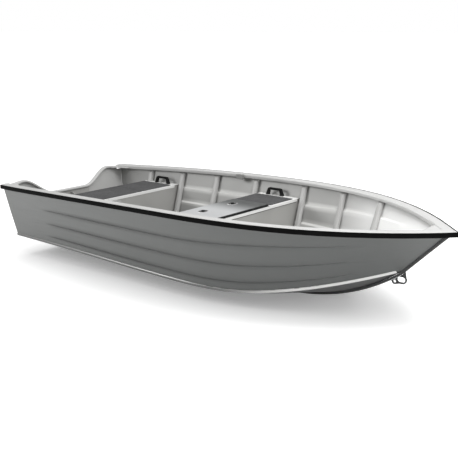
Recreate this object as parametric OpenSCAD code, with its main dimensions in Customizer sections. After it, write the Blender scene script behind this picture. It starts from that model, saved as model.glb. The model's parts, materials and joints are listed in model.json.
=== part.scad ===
// Open aluminium fishing dinghy: pressed clinker-look sides, V bottom, two thwart seats and a seat hatch.
// Lines are drawn in the hull's own frame: x from the transom top forward, y to port, z up from the keel.
// place() then moves every piece so that the origin lies on the waterline amidships.

/* [Hull lines] */
// Length from the transom top to the tip of the gunwale
loa = 3750; // [3400:10:4200]
// Widest breadth over the gunwales
beam = 1660; // [1500:10:1800]
// Breadth over the gunwales at the transom
transom_beam = 1410; // [1300:10:1480]
// Distance of the widest section from the transom
max_beam_x = 1710; // [1500:10:1900]
// Fullness of the bow in plan, as an exponent
sheer_fullness = 2.96; // [2.4:0.02:3.2]
// Height of the gunwale top at the transom
sheer_aft = 600; // [560:5:640]
// Height of the gunwale top amidships
sheer_mid = 663; // [630:1:690]
// Height of the gunwale top at the bow
sheer_bow = 642; // [610:1:700]
// Breadth across the chines at the transom
chine_aft_beam = 1240; // [1150:10:1280]
// Widest breadth across the chines
chine_beam = 1262; // [1242:2:1360]
// Distance of the widest chine section from the transom
chine_max_x = 1920; // [1700:10:2000]
// Fullness of the chine in plan, as an exponent
chine_fullness = 2.2; // [1.9:0.05:2.6]
// Height of the chine at the transom
chine_aft_z = 165; // [145:1:175]
// Height of the chine at its lowest
chine_low_z = 115; // [105:1:140]
// Distance of the lowest chine point from the transom
chine_low_x = 2300; // [2000:10:2350]
// Height where the chine runs into the stem
chine_bow_z = 315; // [300:1:325]
// How the chine rises to the stem, as an exponent
chine_rise = 1.7; // [1.5:0.05:2.2]
// Distance behind the bow tip where the keel starts to rise
forefoot_back = 1300; // [1220:10:1340]
// Distance behind the bow tip where the chine runs into the stem
chine_back = 380; // [360:5:420]
// Radius of the forefoot
forefoot_radius = 1600; // [1500:10:1800]
// Rise of the stem for each millimetre forward
stem_slope = 0.98; // [0.9:0.01:1.1]
// Lean of the transom from upright, in degrees
transom_rake = 12; // [8:0.5:15]
// Draft of the empty boat, from the keel to the waterline
draft = 95; // [80:1:120]

/* [Plating] */
// Thickness of the side and bottom sheets
skin = 3; // [2:0.5:4]
// Depth of the pressed laps along the sides
lap_depth = 11; // [6:1:14]
// Depth of the pressed strakes along the bottom
strake_depth = 9; // [5:1:12]
// Thickness of the transom sheet
transom_skin = 5; // [4:0.5:8]
// Height of the keel and stem bar below the bottom sheets
keel_depth = 18; // [12:1:26]
// Width of the keel and stem bar
keel_width = 30; // [24:2:40]
// Height of the chine strip along the side
chine_strip_h = 20; // [14:1:28]
// How far the chine strip stands out
chine_strip_t = 9; // [6:1:14]

/* [Gunwale] */
// Width of the gunwale extrusion
gunwale_w = 78; // [64:2:90]
// Height of the gunwale's inner lip
gunwale_lip = 26; // [20:1:34]
// Height of the gunwale's outer face
gunwale_face = 30; // [24:1:36]
// Wall of the gunwale extrusion
gunwale_wall = 4; // [3:0.5:6]
// Height of the black fender strip
fender_h = 34; // [28:1:36]
// Thickness of the black fender strip
fender_t = 9; // [6:1:14]
// How far the gunwale stands out past the side
overhang = 27; // [22:1:34]
// How far the gunwale tip stands past the stem
bow_overhang = 46; // [40:1:60]

/* [Ribs] */
// Width of a rib
rib_w = 48; // [36:2:60]
// Depth of a rib
rib_d = 32; // [24:1:40]
// Height of the floor frames above the bottom sheets
floor_h = 30; // [20:1:40]
// Distance of the first rib from the transom
rib_first_x = 396; // [390:1:410]

/* [Seats] */
// Thickness of the seat sheets
seat_skin = 3; // [2:0.5:4]
// Height of the aft seat
aft_seat_z = 490; // [470:5:505]
// Aft edge of the aft seat
aft_seat_x = 362; // [355:1:364]
// Forward edge of the aft seat
aft_seat_front_x = 732; // [715:1:735]
// Height of the middle seat
mid_seat_z = 525; // [505:5:540]
// Aft edge of the middle seat
mid_seat_x = 1650; // [1630:5:1665]
// Forward edge of the middle seat
mid_seat_front_x = 2046; // [2030:1:2047]
// Depth of the folded lip along each seat edge
seat_lip = 22; // [16:1:30]
// Thickness of the carpet mats
mat_t = 6; // [4:0.5:10]
// Width of the centre mat on the aft seat
centre_mat_w = 512; // [400:4:600]

/* [Hatch] */
// Length of the hatch lid across the boat
hatch_w = 690; // [600:10:720]
// Depth of the hatch lid along the boat
hatch_d = 346; // [320:2:350]
// Height of the lid's folded edge
hatch_edge = 11; // [8:1:16]
// Clearance round the lid
hatch_gap = 5; // [5:0.5:8]
// Radius of the hinge knuckles
knuckle_r = 5; // [4:0.5:6]
// Radius of the hinge pin
hinge_pin_r = 2.5; // [2:0.25:3]
// Number of hinge knuckles
knuckles = 19; // [9:2:25]
// Distance of each latch from the lid's middle
latch_y = 178; // [140:2:220]

/* [Stern] */
// Height of the motor cut-out above the keel
notch_z = 478; // [455:1:490]
// Half width of the flat of the motor cut-out
notch_flat = 185; // [150:5:195]
// Half width where the cut-out reaches the corners
notch_reach = 480; // [430:5:490]
// Rise of the shoulders beside the cut-out above the gunwales
cap_rise = 14; // [8:1:18]
// Width of the capping along the transom's top
cap_w = 42; // [30:1:50]
// Height of the capping along the transom's top
cap_h = 16; // [12:1:22]
// Width of the motor pads
pad_w = 440; // [380:10:480]
// Height of the motor pads
pad_h = 210; // [180:10:240]
// Thickness of the inner motor pad
pad_in_t = 16; // [10:1:24]
// Thickness of the outer motor pad
pad_out_t = 8; // [5:1:12]
// Length of the corner plates along the gunwale
corner_len = 125; // [100:5:150]

/* [Fittings] */
// Length of a grab handle
handle_len = 170; // [150:5:200]
// Height of a grab handle
handle_h = 60; // [52:1:80]
// Thickness of the grab handle's bar
handle_bar = 16; // [12:1:22]
// Width of a grab handle
handle_w = 26; // [20:1:32]
// Distance of the rowlock blocks from the transom
rowlock_x = 1437; // [1400:1:1460]
// Radius of the rowlock socket
rowlock_r = 6.6; // [6:0.1:8]
// Thickness of the bow eye plate
eye_t = 12; // [8:1:16]
// Radius of the small hole in the bow eye
eye_hole_r = 11; // [8:0.5:12]

/* [Hidden] */
$fn = 48;
// Clearance between pieces that are welded or riveted face to face
fit = 0.3;
RIBS = 7;
// Distances of the ribs from the first one: the seats stand between them
rib_steps = [0, 372, 764, 1190, 1688, 2088, 2494];

// Where the lines end
side_len = loa - bow_overhang;
forefoot_x = loa - forefoot_back;
chine_len = loa - chine_back;
stem_foot_x = chine_len + 10;
rake_tan = tan(transom_rake);
half_lap = lap_depth / 2;
rake_cos = cos(transom_rake);
aluminium = [0.74, 0.74, 0.72];
plain_sheet = [0.80, 0.79, 0.76];
carpet = [0.33, 0.33, 0.34];
black = [0.06, 0.06, 0.07];

// Fractions of the side's height, from the sheer down, where the laps lie
LAPS = [0.13, 0.35, 0.605, 0.85];
// Half height of a lap's slope, as a fraction of the side
lap_slope = 0.018;
// Fractions of the bottom's breadth, from the chine in, where each strake's edges lie
STRAKES = [0.26, 0.34, 0.60, 0.68];
strake_slope = 0.02;

// Plain helpers
function lerp(a, b, f) = a + (b - a) * f;
function unit(v) = v / norm(v);
function ease(f) = let (c = max(0, min(1, f))) c * c * (3 - 2 * c);
function total(v) = v * [for (n = v) 1];

// Half breadth of a waterline: a parabola aft of the widest point, a fuller curve forward of it
function breadth(x, half_aft, half_max, x_max, x_end, full) =
    x < x_max
        ? half_max - (half_max - half_aft) * pow((x_max - x) / x_max, 2)
        : half_max * (1 - pow(min(1, (x - x_max) / (x_end - x_max)), full));

// The sheer, which is the gunwale's outer top edge
function sheer_y(x) = breadth(x, transom_beam / 2, beam / 2, max_beam_x, loa, sheer_fullness);
function sheer_z(x) =
    let (s = x / loa)
    sheer_aft * (1 - s) * (1 - 2 * s) + 4 * sheer_mid * s * (1 - s) + sheer_bow * s * (2 * s - 1);

// The top edge of the side sheet, under the gunwale
function side_top_y(x) =
    breadth(x, transom_beam / 2 - overhang, beam / 2 - overhang, max_beam_x, side_len, sheer_fullness);
function side_top_z(x) = sheer_z(x) - gunwale_wall - fit;

// The chine
function chine_y(x) = breadth(x, chine_aft_beam / 2, chine_beam / 2, chine_max_x, chine_len, chine_fullness);
function chine_z(x) =
    x < chine_low_x
        ? lerp(chine_low_z, chine_aft_z, 0.5 + 0.5 * cos(180 * x / chine_low_x))
        : lerp(chine_low_z, chine_bow_z, pow((x - chine_low_x) / (chine_len - chine_low_x), chine_rise));

// The underside of the keel bar, then the front of the stem bar
function keel_arc(x) = forefoot_radius - sqrt(pow(forefoot_radius, 2) - pow(max(0, x - forefoot_x), 2));
function stem_z(x) = keel_arc(stem_foot_x) + (x - stem_foot_x) * stem_slope;
function keel_z(x) = x < stem_foot_x ? keel_arc(x) : stem_z(x);
// The line that the bottom sheets meet on, one bar's depth inside the keel
function apex_z(x) =
    forefoot_radius - sqrt(pow(forefoot_radius - keel_depth, 2) - pow(max(0, x - forefoot_x), 2));

// The lower edge of the side sheet: on the chine, then up the stem
stem_lift = keel_depth * sqrt(1 + stem_slope * stem_slope);
edge_half = keel_width / 2 - 5;
function side_low_y(x) = max(edge_half, chine_y(x));
function side_low_z(x) = max(chine_z(min(x, chine_len)) + skin * 1.4 + fit, stem_z(x) + stem_lift);

// The transom's raked plane
function transom_x(z) = rake_tan * (sheer_aft - z);

// A point of the side's plain surface at a station x and a fraction f from the top edge down
function side_point(x, f) =
    [x, lerp(side_top_y(x), side_low_y(x), f), lerp(side_top_z(x), side_low_z(x), f)];
// The same, drawn back to the transom's plane
function side_aft_point(f) =
    let (a = side_point(transom_x(lerp(side_top_z(0), chine_aft_z, f)), f))
    side_point(transom_x(a[2]), f);
function side_normal(x, f) =
    let (step = 4, along = side_point(x + step, f) - side_point(x - step, f))
    let (down = side_point(x, min(1, f + 0.05)) - side_point(x, f - 0.05))
    unit(cross(along, down));
// How far the pressed laps push the sheet out or in, fading towards both ends
lap_start_x = 0;
lap_aft_run = 1200;
lap_bow_gap = 300;
lap_end_x = loa - lap_bow_gap;
lap_fore_run = 550;
function lap_fade(x) = ease((x - lap_start_x) / lap_aft_run) * ease((lap_end_x - x) / lap_fore_run);
// The top lap is shallower than the others, and runs out under the fender before they do
top_lap_share = 0.2;
top_lap_end_x = 2300;
top_lap_run = 600;
function top_lap_fade(x) = top_lap_share * ease((top_lap_end_x - x) / top_lap_run);
function row_fade(x, k) = lap_fade(x) * (k == 1 || k == 2 ? top_lap_fade(x) : 1);
// The second lap climbs towards the sheer at the bow
lap_climb = 0.05;
lap_climb_x = 1900;
lap_climb_run = 900;
function row_at(x, k) =
    side_rows[k] - (k == 3 || k == 4 ? lap_climb * ease((x - lap_climb_x) / lap_climb_run) : 0);

// A solid from points and triangles, turned so that its faces look outwards
function signed_volume(points, triangles) =
    total([for (t = triangles) points[t[0]] * cross(points[t[1]], points[t[2]])]) / 6;
module solid(points, triangles) {
    outwards = signed_volume(points, triangles) > 0;
    polyhedron(points, outwards ? [for (t = triangles) [t[2], t[1], t[0]]] : triangles, convexity = 10);
}
function quad(a, b, c, d) = [[a, b, c], [a, c, d]];

// A loft through closed rings with the same number of points
module loft(rings) {
    n = len(rings[0]);
    last = len(rings) - 1;
    points = [for (ring = rings, p = ring) p];
    walls = [
        for (i = [0:last - 1], j = [0:n - 1], t = quad(
            i * n + j, i * n + (j + 1) % n, (i + 1) * n + (j + 1) % n, (i + 1) * n + j)) t
    ];
    near_cap = [for (j = [1:n - 2]) [0, j + 1, j]];
    far_cap = [for (j = [1:n - 2]) [last * n, last * n + j, last * n + j + 1]];
    solid(points, concat(walls, near_cap, far_cap));
}

// A sheet between an outer and an inner grid of points
module sheet(outer, inner) {
    rows = len(outer[0]);
    sheet_loft([for (i = [0:len(outer) - 1]) concat(outer[i], [for (j = [rows - 1:-1:0]) inner[i][j]])]);
}
// A loft through long thin rings: up one face and back down the other, with caps cut into strips
module sheet_loft(rings) {
    n = len(rings[0]);
    rows = n / 2;
    last = len(rings) - 1;
    points = [for (ring = rings, p = ring) p];
    walls = [
        for (i = [0:last - 1], j = [0:n - 1], t = quad(
            i * n + j, i * n + (j + 1) % n, (i + 1) * n + (j + 1) % n, (i + 1) * n + j)) t
    ];
    near_cap = [for (j = [0:rows - 2], t = quad(j, n - 1 - j, n - 2 - j, j + 1)) t];
    far_cap = [for (j = [0:rows - 2], t = quad(j + 1, n - 2 - j, n - 1 - j, j)) [for (k = t) k + last * n]];
    solid(points, concat(walls, near_cap, far_cap));
}

module place() {
    translate([-loa / 2, 0, -draft]) children();
}
module starboard() {
    mirror([0, 1, 0]) children();
}

// Stations along the hull: both edges of every frame, and shares of the runs between them
function frame_x(i) = rib_first_x + rib_steps[i];
bow_start = frame_x(RIBS - 1) + rib_w / 2;
bow_end = side_len - 24;
foot_gap = 32;
foot_start = stem_foot_x - foot_gap;
foot_end = stem_foot_x - 1;
hull_stations = concat(
    [transom_x(0) + 70],
    [for (i = [0:RIBS - 1]) each concat(
        [frame_x(i) - rib_w / 2, frame_x(i) + rib_w / 2],
        i < RIBS - 1 ? [for (k = [1:2]) lerp(frame_x(i) + rib_w / 2, frame_x(i + 1) - rib_w / 2, k / 3)] : []
    )],
    [for (k = [1:6]) lerp(bow_start, foot_start, k / 6)],
    [for (k = [0:4]) lerp(foot_end, bow_end, k / 4)]
);
side_rows = concat(
    [0],
    [for (l = LAPS) each [l - lap_slope, l + lap_slope]],
    [1]
);
// Rows pair with the wave just above and just below each lap
side_waves = concat(
    [0],
    [for (l = LAPS) each [0.5, -0.5]],
    [0]
);

function pressed_side(x, k) =
    let (f = row_at(x, k), push = lap_depth * side_waves[k] * row_fade(x, k))
    side_point(x, f) + side_normal(x, f) * push;
function inner_side(x, k) = pressed_side(x, k) - side_normal(x, row_at(x, k)) * skin;

module side_sheet() {
    count = [0:len(side_rows) - 1];
    aft_outer = [for (f = side_rows) side_aft_point(f)];
    aft_inner = [for (p = aft_outer) p - [0, skin, 0]];
    outer = concat([aft_outer], [for (x = hull_stations) [for (k = count) pressed_side(x, k)]]);
    inner = concat([aft_inner], [for (x = hull_stations) [for (k = count) inner_side(x, k)]]);
    color(aluminium) sheet(outer, inner);
}

// A point of the bottom's plain surface at a station x and a fraction f from the chine in to the keel
bottom_edge = 3;
function bottom_point(x, f) =
    [x, lerp(chine_y(x), bottom_edge, f), lerp(chine_z(x), apex_z(x), f)];
function bottom_normal(x) = unit([0, chine_z(x) - apex_z(x), -(chine_y(x) - bottom_edge)]);
// The strakes start near the transom and fade out before the forefoot
strake_start_x = 130;
strake_aft_run = 150;
strake_bow_gap = 800;
strake_end_x = loa - strake_bow_gap;
strake_fore_run = 500;
function strake_fade(x) =
    ease((x - strake_start_x) / strake_aft_run) * ease((strake_end_x - x) / strake_fore_run);
bottom_rows = concat([0], [for (i = [0:3]) each [STRAKES[i] - strake_slope, STRAKES[i]]], [1]);
bottom_waves = [0, 0, 1, 1, 0, 0, 1, 1, 0, 0];
function pressed_bottom(x, k) =
    bottom_point(x, bottom_rows[k]) + bottom_normal(x) * strake_depth * bottom_waves[k] * strake_fade(x);
bottom_aft_x = transom_x(chine_aft_z);
bottom_end = chine_len - 9;
bottom_stations = concat([for (x = hull_stations) if (x < bottom_end - 10) x], [bottom_end]);

module bottom_sheet() {
    count = [0:len(bottom_rows) - 1];
    aft_outer = [for (f = bottom_rows) let (p = bottom_point(bottom_aft_x, f)) [transom_x(p[2]), p[1], p[2]]];
    up = -bottom_normal(bottom_aft_x) * skin;
    aft_inner = [for (p = aft_outer) p + [-rake_tan * up[2], up[1], up[2]]];
    outer = concat([aft_outer], [for (x = bottom_stations) [for (k = count) pressed_bottom(x, k)]]);
    inner = concat(
        [aft_inner],
        [for (x = bottom_stations) [for (k = count) pressed_bottom(x, k) - bottom_normal(x) * skin]]
    );
    color(aluminium) sheet(outer, inner);
}

module bottom_port() {
    place() bottom_sheet();
}
module bottom_starboard() {
    place() starboard() bottom_sheet();
}
module side_port() {
    place() side_sheet();
}
module side_starboard() {
    place() starboard() side_sheet();
}

// The keel bar, which turns up into the stem bar
stem_end_z = sheer_bow - gunwale_face - 4;
stem_end_x = stem_foot_x + (stem_end_z - keel_arc(stem_foot_x)) / stem_slope;
keel_stations = concat(
    [hull_stations[0], forefoot_x],
    [for (x = hull_stations) if (x > forefoot_x + 20 && x < stem_foot_x - 10) x],
    [stem_foot_x, stem_foot_x + 40, stem_end_x]
);
bar_edge = 5;
keel_profile = [
    [-keel_width / 2, keel_depth - 3 * fit], [keel_width / 2, keel_depth - 3 * fit],
    [keel_width / 2, bar_edge], [keel_width / 2 - bar_edge, 0],
    [bar_edge - keel_width / 2, 0], [-keel_width / 2, bar_edge]
];
function keel_ring(x) =
    let (rise = unit([20, 0, keel_z(x + 10) - keel_z(x - 10)]), up = [-rise[2], 0, rise[0]])
    [for (p = keel_profile) [x, p[0], keel_z(x)] + up * p[1]];
module keel() {
    aft_ring = [for (p = keel_profile) [transom_x(p[1]), p[0], p[1]]];
    color(aluminium) place() loft(concat([aft_ring], [for (x = keel_stations) keel_ring(x)]));
}

// The bright strip along the chine, laid on the side sheet
chine_stations = [for (x = hull_stations) if (x < chine_len - 20) x];
strip_profile = [
    [fit, 0], [chine_strip_t * 0.6, -2], [chine_strip_t, chine_strip_h * 0.3],
    [chine_strip_t * 0.8, chine_strip_h * 0.7], [fit, chine_strip_h]
];
function strip_ring(x) =
    let (base = side_point(x, 1), up = unit(side_point(x, 0) - base), out = side_normal(x, 1))
    [for (p = strip_profile) base + out * p[0] + up * p[1]];
function strip_aft_ring() =
    let (base = side_aft_point(1), up = unit(side_aft_point(0) - base), out = side_normal(base[0], 1))
    [for (p = strip_profile) base + [0, out[1], out[2]] * p[0] + up * p[1]];
module chine_strip() {
    color(aluminium) loft(concat([strip_aft_ring()], [for (x = chine_stations) strip_ring(x)]));
}
module chine_port() {
    place() chine_strip();
}
module chine_starboard() {
    place() starboard() chine_strip();
}

// The gunwale: profiles are swept along the sheer, u out from it and v up
gunwale_stations = concat(
    [for (i = [0:9]) i * 230],
    [for (i = [1:11]) 2070 + i * (loa - 95 - 2070) / 11]
);
function sheer_dir(x) = unit([4, sheer_y(x + 2) - sheer_y(x - 2), 0]);
function sheer_out(x) = let (d = sheer_dir(x)) [-d[1], d[0], 0];
function swept(x, p) = [x, sheer_y(x), sheer_z(x)] + sheer_out(x) * p[0] + [0, 0, p[1]];
// Rings at the ends are drawn along the sheer to the transom and to the mitre on the centreline
function to_transom(p, d) = p + d * ((0 - p[0]) / d[0]);
function to_mitre(p, d) = p + d * ((fit / 2 - p[1]) / d[1]);
function sweep_rings(profile) =
    let (last = gunwale_stations[len(gunwale_stations) - 1], d = sheer_dir(last))
    concat(
        [[for (p = profile) to_transom(swept(60, p), sheer_dir(60))]],
        [for (i = [1:len(gunwale_stations) - 1]) [for (p = profile) swept(gunwale_stations[i], p)]],
        [[for (p = profile) to_mitre(swept(last, p), d)]]
    );
gunwale_out = -fender_t - fit;
gunwale_in = gunwale_out - gunwale_w;
leg_in = -overhang + 2 * fit;
crown = 5;
fender_top = 1;
fender_low = fender_top - fender_h;
fender_profile = [
    [-fender_t, fender_top - 2], [-3, fender_top], [0, fender_top - 5],
    [0, fender_low + 5], [-3, fender_low], [-fender_t, fender_low + 1]
];
module swept_bar(profile) {
    rings = sweep_rings(profile);
    loft(rings);
}
// Points of the outer face, each with the matching point of the inner face
gunwale_rows = [
    [[gunwale_out, -gunwale_face], [leg_in, -gunwale_face]],
    [[gunwale_out, -2], [leg_in, -gunwale_wall - 4]],
    [[gunwale_out - 5, 2], [leg_in, -gunwale_wall + 1]],
    [[gunwale_out - gunwale_w * 0.5, crown], [gunwale_out - gunwale_w * 0.5, crown - gunwale_wall]],
    [[gunwale_in + 5, 2], [gunwale_in + gunwale_wall + 2, 1 - gunwale_wall]],
    [[gunwale_in, -3], [gunwale_in + gunwale_wall, -gunwale_wall - 2]],
    [[gunwale_in, -gunwale_lip], [gunwale_in + gunwale_wall, -gunwale_lip]]
];
module gunwale_bar() {
    color(plain_sheet) sheet(
        sweep_rings([for (r = gunwale_rows) r[0]]),
        sweep_rings([for (r = gunwale_rows) r[1]])
    );
}
module fender_bar() {
    color(black) swept_bar(fender_profile);
}
module gunwale_port() {
    place() gunwale_bar();
}
module gunwale_starboard() {
    place() starboard() gunwale_bar();
}
module fender_port() {
    place() fender_bar();
}
module fender_starboard() {
    place() starboard() fender_bar();
}
// Half breadth inside the gunwale's lip
function lip_point(x) = swept(x, [gunwale_in - fit, 0]);

// Free half breadth inside the pressed side at a station and height
function side_y_at(x, z) =
    lerp(side_top_y(x), side_low_y(x), (side_top_z(x) - z) / (side_top_z(x) - side_low_z(x)));
function side_inset(x) = (skin + half_lap * lap_on(x) + fit) * 1.14;
function clear_y(x, z) = side_y_at(x, z) - side_inset(x);
// The laps' share of their full depth, along the sheet's flat runs between stations
function lap_on(x) =
    let (i = bracket(hull_stations, x), a = hull_stations[i], b = hull_stations[i + 1])
    lerp(lap_fade(a), lap_fade(b), (x - a) / (b - a));
// Free height above the bottom sheets on the centreline and at the chine
function clear_keel_z(x) = apex_z(x) + skin * 1.1 + 2 * fit;
function clear_chine_z(x) = chine_z(x) + skin * 1.1 + 2 * fit;

// A frame: a rib up each side, and a floor across each half of the bottom
rib_set_in = skin + half_lap + fit;
function rib_seat(x) = skin + half_lap * lap_on(x) + fit;
rib_bevel = rib_w * 0.2;
// Each column of a rib: its offset along the boat, then its share of the full depth
RIB_COLUMNS = [[-rib_w / 2, 0.55], [rib_bevel - rib_w / 2, 1], [rib_w / 2 - rib_bevel, 1], [rib_w / 2, 0.55]];
rib_drop = gunwale_lip - 2;
rib_foot = 0.965;
// Points on the flat strips between stations, so that frames seat on the sheets as they are made
function bracket(list, x) = max([for (i = [0:len(list) - 2]) list[i] <= x ? i : 0]);
function side_on(x, f) =
    let (i = bracket(hull_stations, x), a = hull_stations[i], b = hull_stations[i + 1])
    lerp(side_point(a, f), side_point(b, f), (x - a) / (b - a));
function bottom_on(x, f) =
    let (i = bracket(bottom_stations, x), a = bottom_stations[i], b = bottom_stations[i + 1])
    lerp(bottom_point(a, f), bottom_point(b, f), (x - a) / (b - a));
function rib_point(x, f, depth) = side_on(x, f) - side_normal(x, f) * depth;
function rib_ring(x, share) =
    let (h = side_top_z(x) - side_low_z(x), top = rib_drop / h, slope = rib_d * share / h)
    let (back = rib_seat(x), face = back + rib_d * share)
    [
        rib_point(x, top, back), rib_point(x, rib_foot, back),
        rib_point(x, rib_foot, face), rib_point(x, top + slope, face)
    ];
floor_inner_y = 24;
floor_steps = 4;
function floor_ring(x, share) =
    let (up = -bottom_normal(x), run = chine_y(x) - bottom_edge)
    let (f_out = (rib_set_in + rib_d + 12) / run, f_in = 1 - (floor_inner_y - bottom_edge) / run)
    let (low = skin + 2 * fit, high = low + floor_h * share)
    concat(
        [for (k = [0:floor_steps]) bottom_on(x, lerp(f_out, f_in, k / floor_steps)) + up * low],
        [for (k = [floor_steps:-1:0]) bottom_on(x, lerp(f_out, f_in, k / floor_steps)) + up * high]
    );
module half_frame(x) {
    loft([for (c = RIB_COLUMNS) rib_ring(x + c[0], c[1])]);
    sheet_loft([for (c = RIB_COLUMNS) floor_ring(x + c[0], c[1])]);
}
module frame(i) {
    x = frame_x(i - 1);
    color(plain_sheet) place() {
        half_frame(x);
        starboard() half_frame(x);
    }
}
module frame_1() {
    frame(1);
}
module frame_2() {
    frame(2);
}
module frame_3() {
    frame(3);
}
module frame_4() {
    frame(4);
}
module frame_5() {
    frame(5);
}
module frame_6() {
    frame(6);
}
module frame_7() {
    frame(7);
}

// The transom, drawn in its own plane: u across, v up the slope from the sheer's height
function slope_v(z) = (z - sheer_aft) / rake_cos;
module on_transom(depth) {
    translate([0, 0, sheer_aft])
        rotate([0, -transom_rake, 0])
        rotate([90, 0, 90])
        translate([0, 0, depth])
        children();
}
// The inside of the gunwale's lip near the stern, along the two flat runs that start there
lip_aft = to_transom(swept(60, [gunwale_in - fit, 0]), sheer_dir(60));
lip_mid = lip_point(gunwale_stations[1]);
lip_fore = lip_point(gunwale_stations[2]);
function lip_run(a, b, x) = lerp(a, b, (x - a[0]) / (b[0] - a[0]))[1];
function lip_y(x) = x < lip_mid[0] ? lip_run(lip_aft, lip_mid, x) : lip_run(lip_mid, lip_fore, x);
cap_end = lip_y(0);
function cap_top(y) =
    notch_z + (sheer_aft + cap_rise - notch_z) * ease((abs(y) - notch_flat) / (notch_reach - notch_flat))
    - cap_rise * ease((abs(y) - notch_reach) / (cap_end - notch_reach));
cap_steps = 12;
// From the port corner in to the flat of the motor cut-out, then out to the starboard corner
cap_half = concat(
    [for (i = [4:-1:1]) lerp(notch_reach, cap_end, i / 4)],
    [for (i = [cap_steps:-1:0]) lerp(notch_flat, notch_reach, i / cap_steps)]
);
cap_line = concat(cap_half, [for (i = [len(cap_half) - 1:-1:0]) -cap_half[i]]);
cap_last = len(cap_line) - 1;
function cap_slope(i) =
    let (a = max(0, i - 1), b = min(cap_last, i + 1))
    unit([cap_line[b] - cap_line[a], cap_top(cap_line[b]) - cap_top(cap_line[a])]);
// A point a given depth below the capping's top line, square to it but upright at the ends
function cap_drop(i, depth) =
    let (d = cap_slope(i), down = i == 0 || i == cap_last ? [0, -1] : [-d[1], d[0]])
    [cap_line[i], cap_top(cap_line[i])] + down * depth;
drain_y = -150;
drain_z = 105;
drain_r = 14;
// The raked plate's inner face stands this much higher at its top edge
edge_rise = transom_skin * sin(transom_rake);
module transom_outline() {
    corner_z = sheer_aft - gunwale_face - 2;
    edge = skin + fit;
    low_x = transom_x(chine_aft_z);
    corner = [side_y_at(transom_x(corner_z), corner_z) - edge, slope_v(corner_z)];
    chine = [chine_y(low_x) - edge, slope_v(chine_aft_z + edge * 1.4)];
    keel_point = [0, slope_v(apex_z(0) + edge * 1.2)];
    step = [cap_end, slope_v(corner_z)];
    top = [for (i = [0:cap_last]) let (q = cap_drop(i, cap_h + fit + edge_rise)) [q[0], slope_v(q[1])]];
    polygon(concat(
        top,
        [[-step[0], step[1]], [-corner[0], corner[1]], [-chine[0], chine[1]]],
        [keel_point, chine, corner, step]
    ));
}
module transom() {
    color(aluminium) place() on_transom(0) linear_extrude(transom_skin) difference() {
        transom_outline();
        translate([drain_y, slope_v(drain_z)]) circle(drain_r);
    }
}
// The wide capping along the transom's top, with rounded upper edges
cap_out = 6;
cap_profile = [
    [-cap_out, 0], [-cap_out, cap_h - 6], [-cap_out + 6, cap_h], [cap_w - cap_out - 7, cap_h],
    [cap_w - cap_out, cap_h - 7], [cap_w - cap_out, 0]
];
function cap_ring(i) =
    let (z = cap_top(cap_line[i]) - cap_h)
    [for (p = cap_profile) let (q = cap_drop(i, cap_h - p[1])) [transom_x(z) + p[0], q[0], q[1]]];
module transom_cap() {
    color(plain_sheet) place() loft([for (i = [0:len(cap_line) - 1]) cap_ring(i)]);
}
module rounded(w, h, r) {
    square([w - 2 * r, h], center = true);
    square([w, h - 2 * r], center = true);
    for (x = [-1, 1], y = [-1, 1]) translate([x * (w / 2 - r), y * (h / 2 - r)]) circle(r);
}
pad_top = notch_z - cap_h - 8;
pad_mid = slope_v(pad_top) - pad_h / 2;
module motor_pad_inner() {
    color(plain_sheet) place() on_transom(transom_skin + fit) linear_extrude(pad_in_t)
        translate([0, pad_mid]) rounded(pad_w, pad_h, 18);
}
module motor_pad_outer() {
    color(aluminium) place() on_transom(-pad_out_t - fit) linear_extrude(pad_out_t)
        translate([0, pad_mid]) rounded(pad_w, pad_h, 18);
}
knee_t = 6;
knee_run = 180;
knee_foot_x = 200;
module transom_knee() {
    back = transom_skin + fit;
    face = back + pad_in_t + fit;
    pad_low = pad_top - pad_h * rake_cos - 8;
    low = clear_keel_z(knee_foot_x) + 6;
    function at(d, z) = [transom_x(z) + d / rake_cos, z];
    color(plain_sheet) place() translate([0, knee_t / 2, 0]) rotate([90, 0, 0]) linear_extrude(knee_t)
        polygon([
            at(face, pad_top - 10), at(face + 40, pad_top - 10), at(face + 90, pad_top - 70),
            at(back + knee_run, low + 60), at(back + knee_run, low), at(back, low),
            at(back, pad_low), at(face, pad_low)
        ]);
}
// Plates that tie the gunwales to the transom
corner_t = 4;
corner_reach = 95;
module corner_plate() {
    aft = transom_x(sheer_aft - cap_h) + cap_w - cap_out + fit;
    steps = 8;
    curve = [for (i = [0:steps]) let (a = 90 * i / steps)
        [aft + corner_len * (1 - cos(a)) , cap_end - corner_reach + corner_reach * 0.86 * sin(a)]];
    color(plain_sheet) translate([0, 0, sheer_aft - corner_t - 6]) linear_extrude(corner_t)
        polygon(concat([[aft, lip_y(aft)]], curve, [[aft + corner_len, lip_y(aft + corner_len)]]));
}
module corner_plate_port() {
    place() corner_plate();
}
module corner_plate_starboard() {
    place() starboard() corner_plate();
}
// The plate between the gunwales at the bow
bow_plate_t = 4;
bow_plate_run = 100;
module bow_plate() {
    n = len(gunwale_stations);
    aft = lip_point(gunwale_stations[n - 2]);
    fore = lip_point(gunwale_stations[n - 1]);
    tip = to_mitre(fore, sheer_dir(gunwale_stations[n - 1]));
    start = lerp(aft, fore, max(0, 1 - (bow_plate_run - (tip[0] - fore[0])) / (fore[0] - aft[0])));
    z = sheer_z(loa - 60) - bow_plate_t - 4;
    color(plain_sheet) place() translate([0, 0, z]) linear_extrude(bow_plate_t)
        polygon([for (p = [start, fore, tip]) [p[0], p[1]], for (p = [fore, start]) [p[0], -p[1]]]);
}
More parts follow.
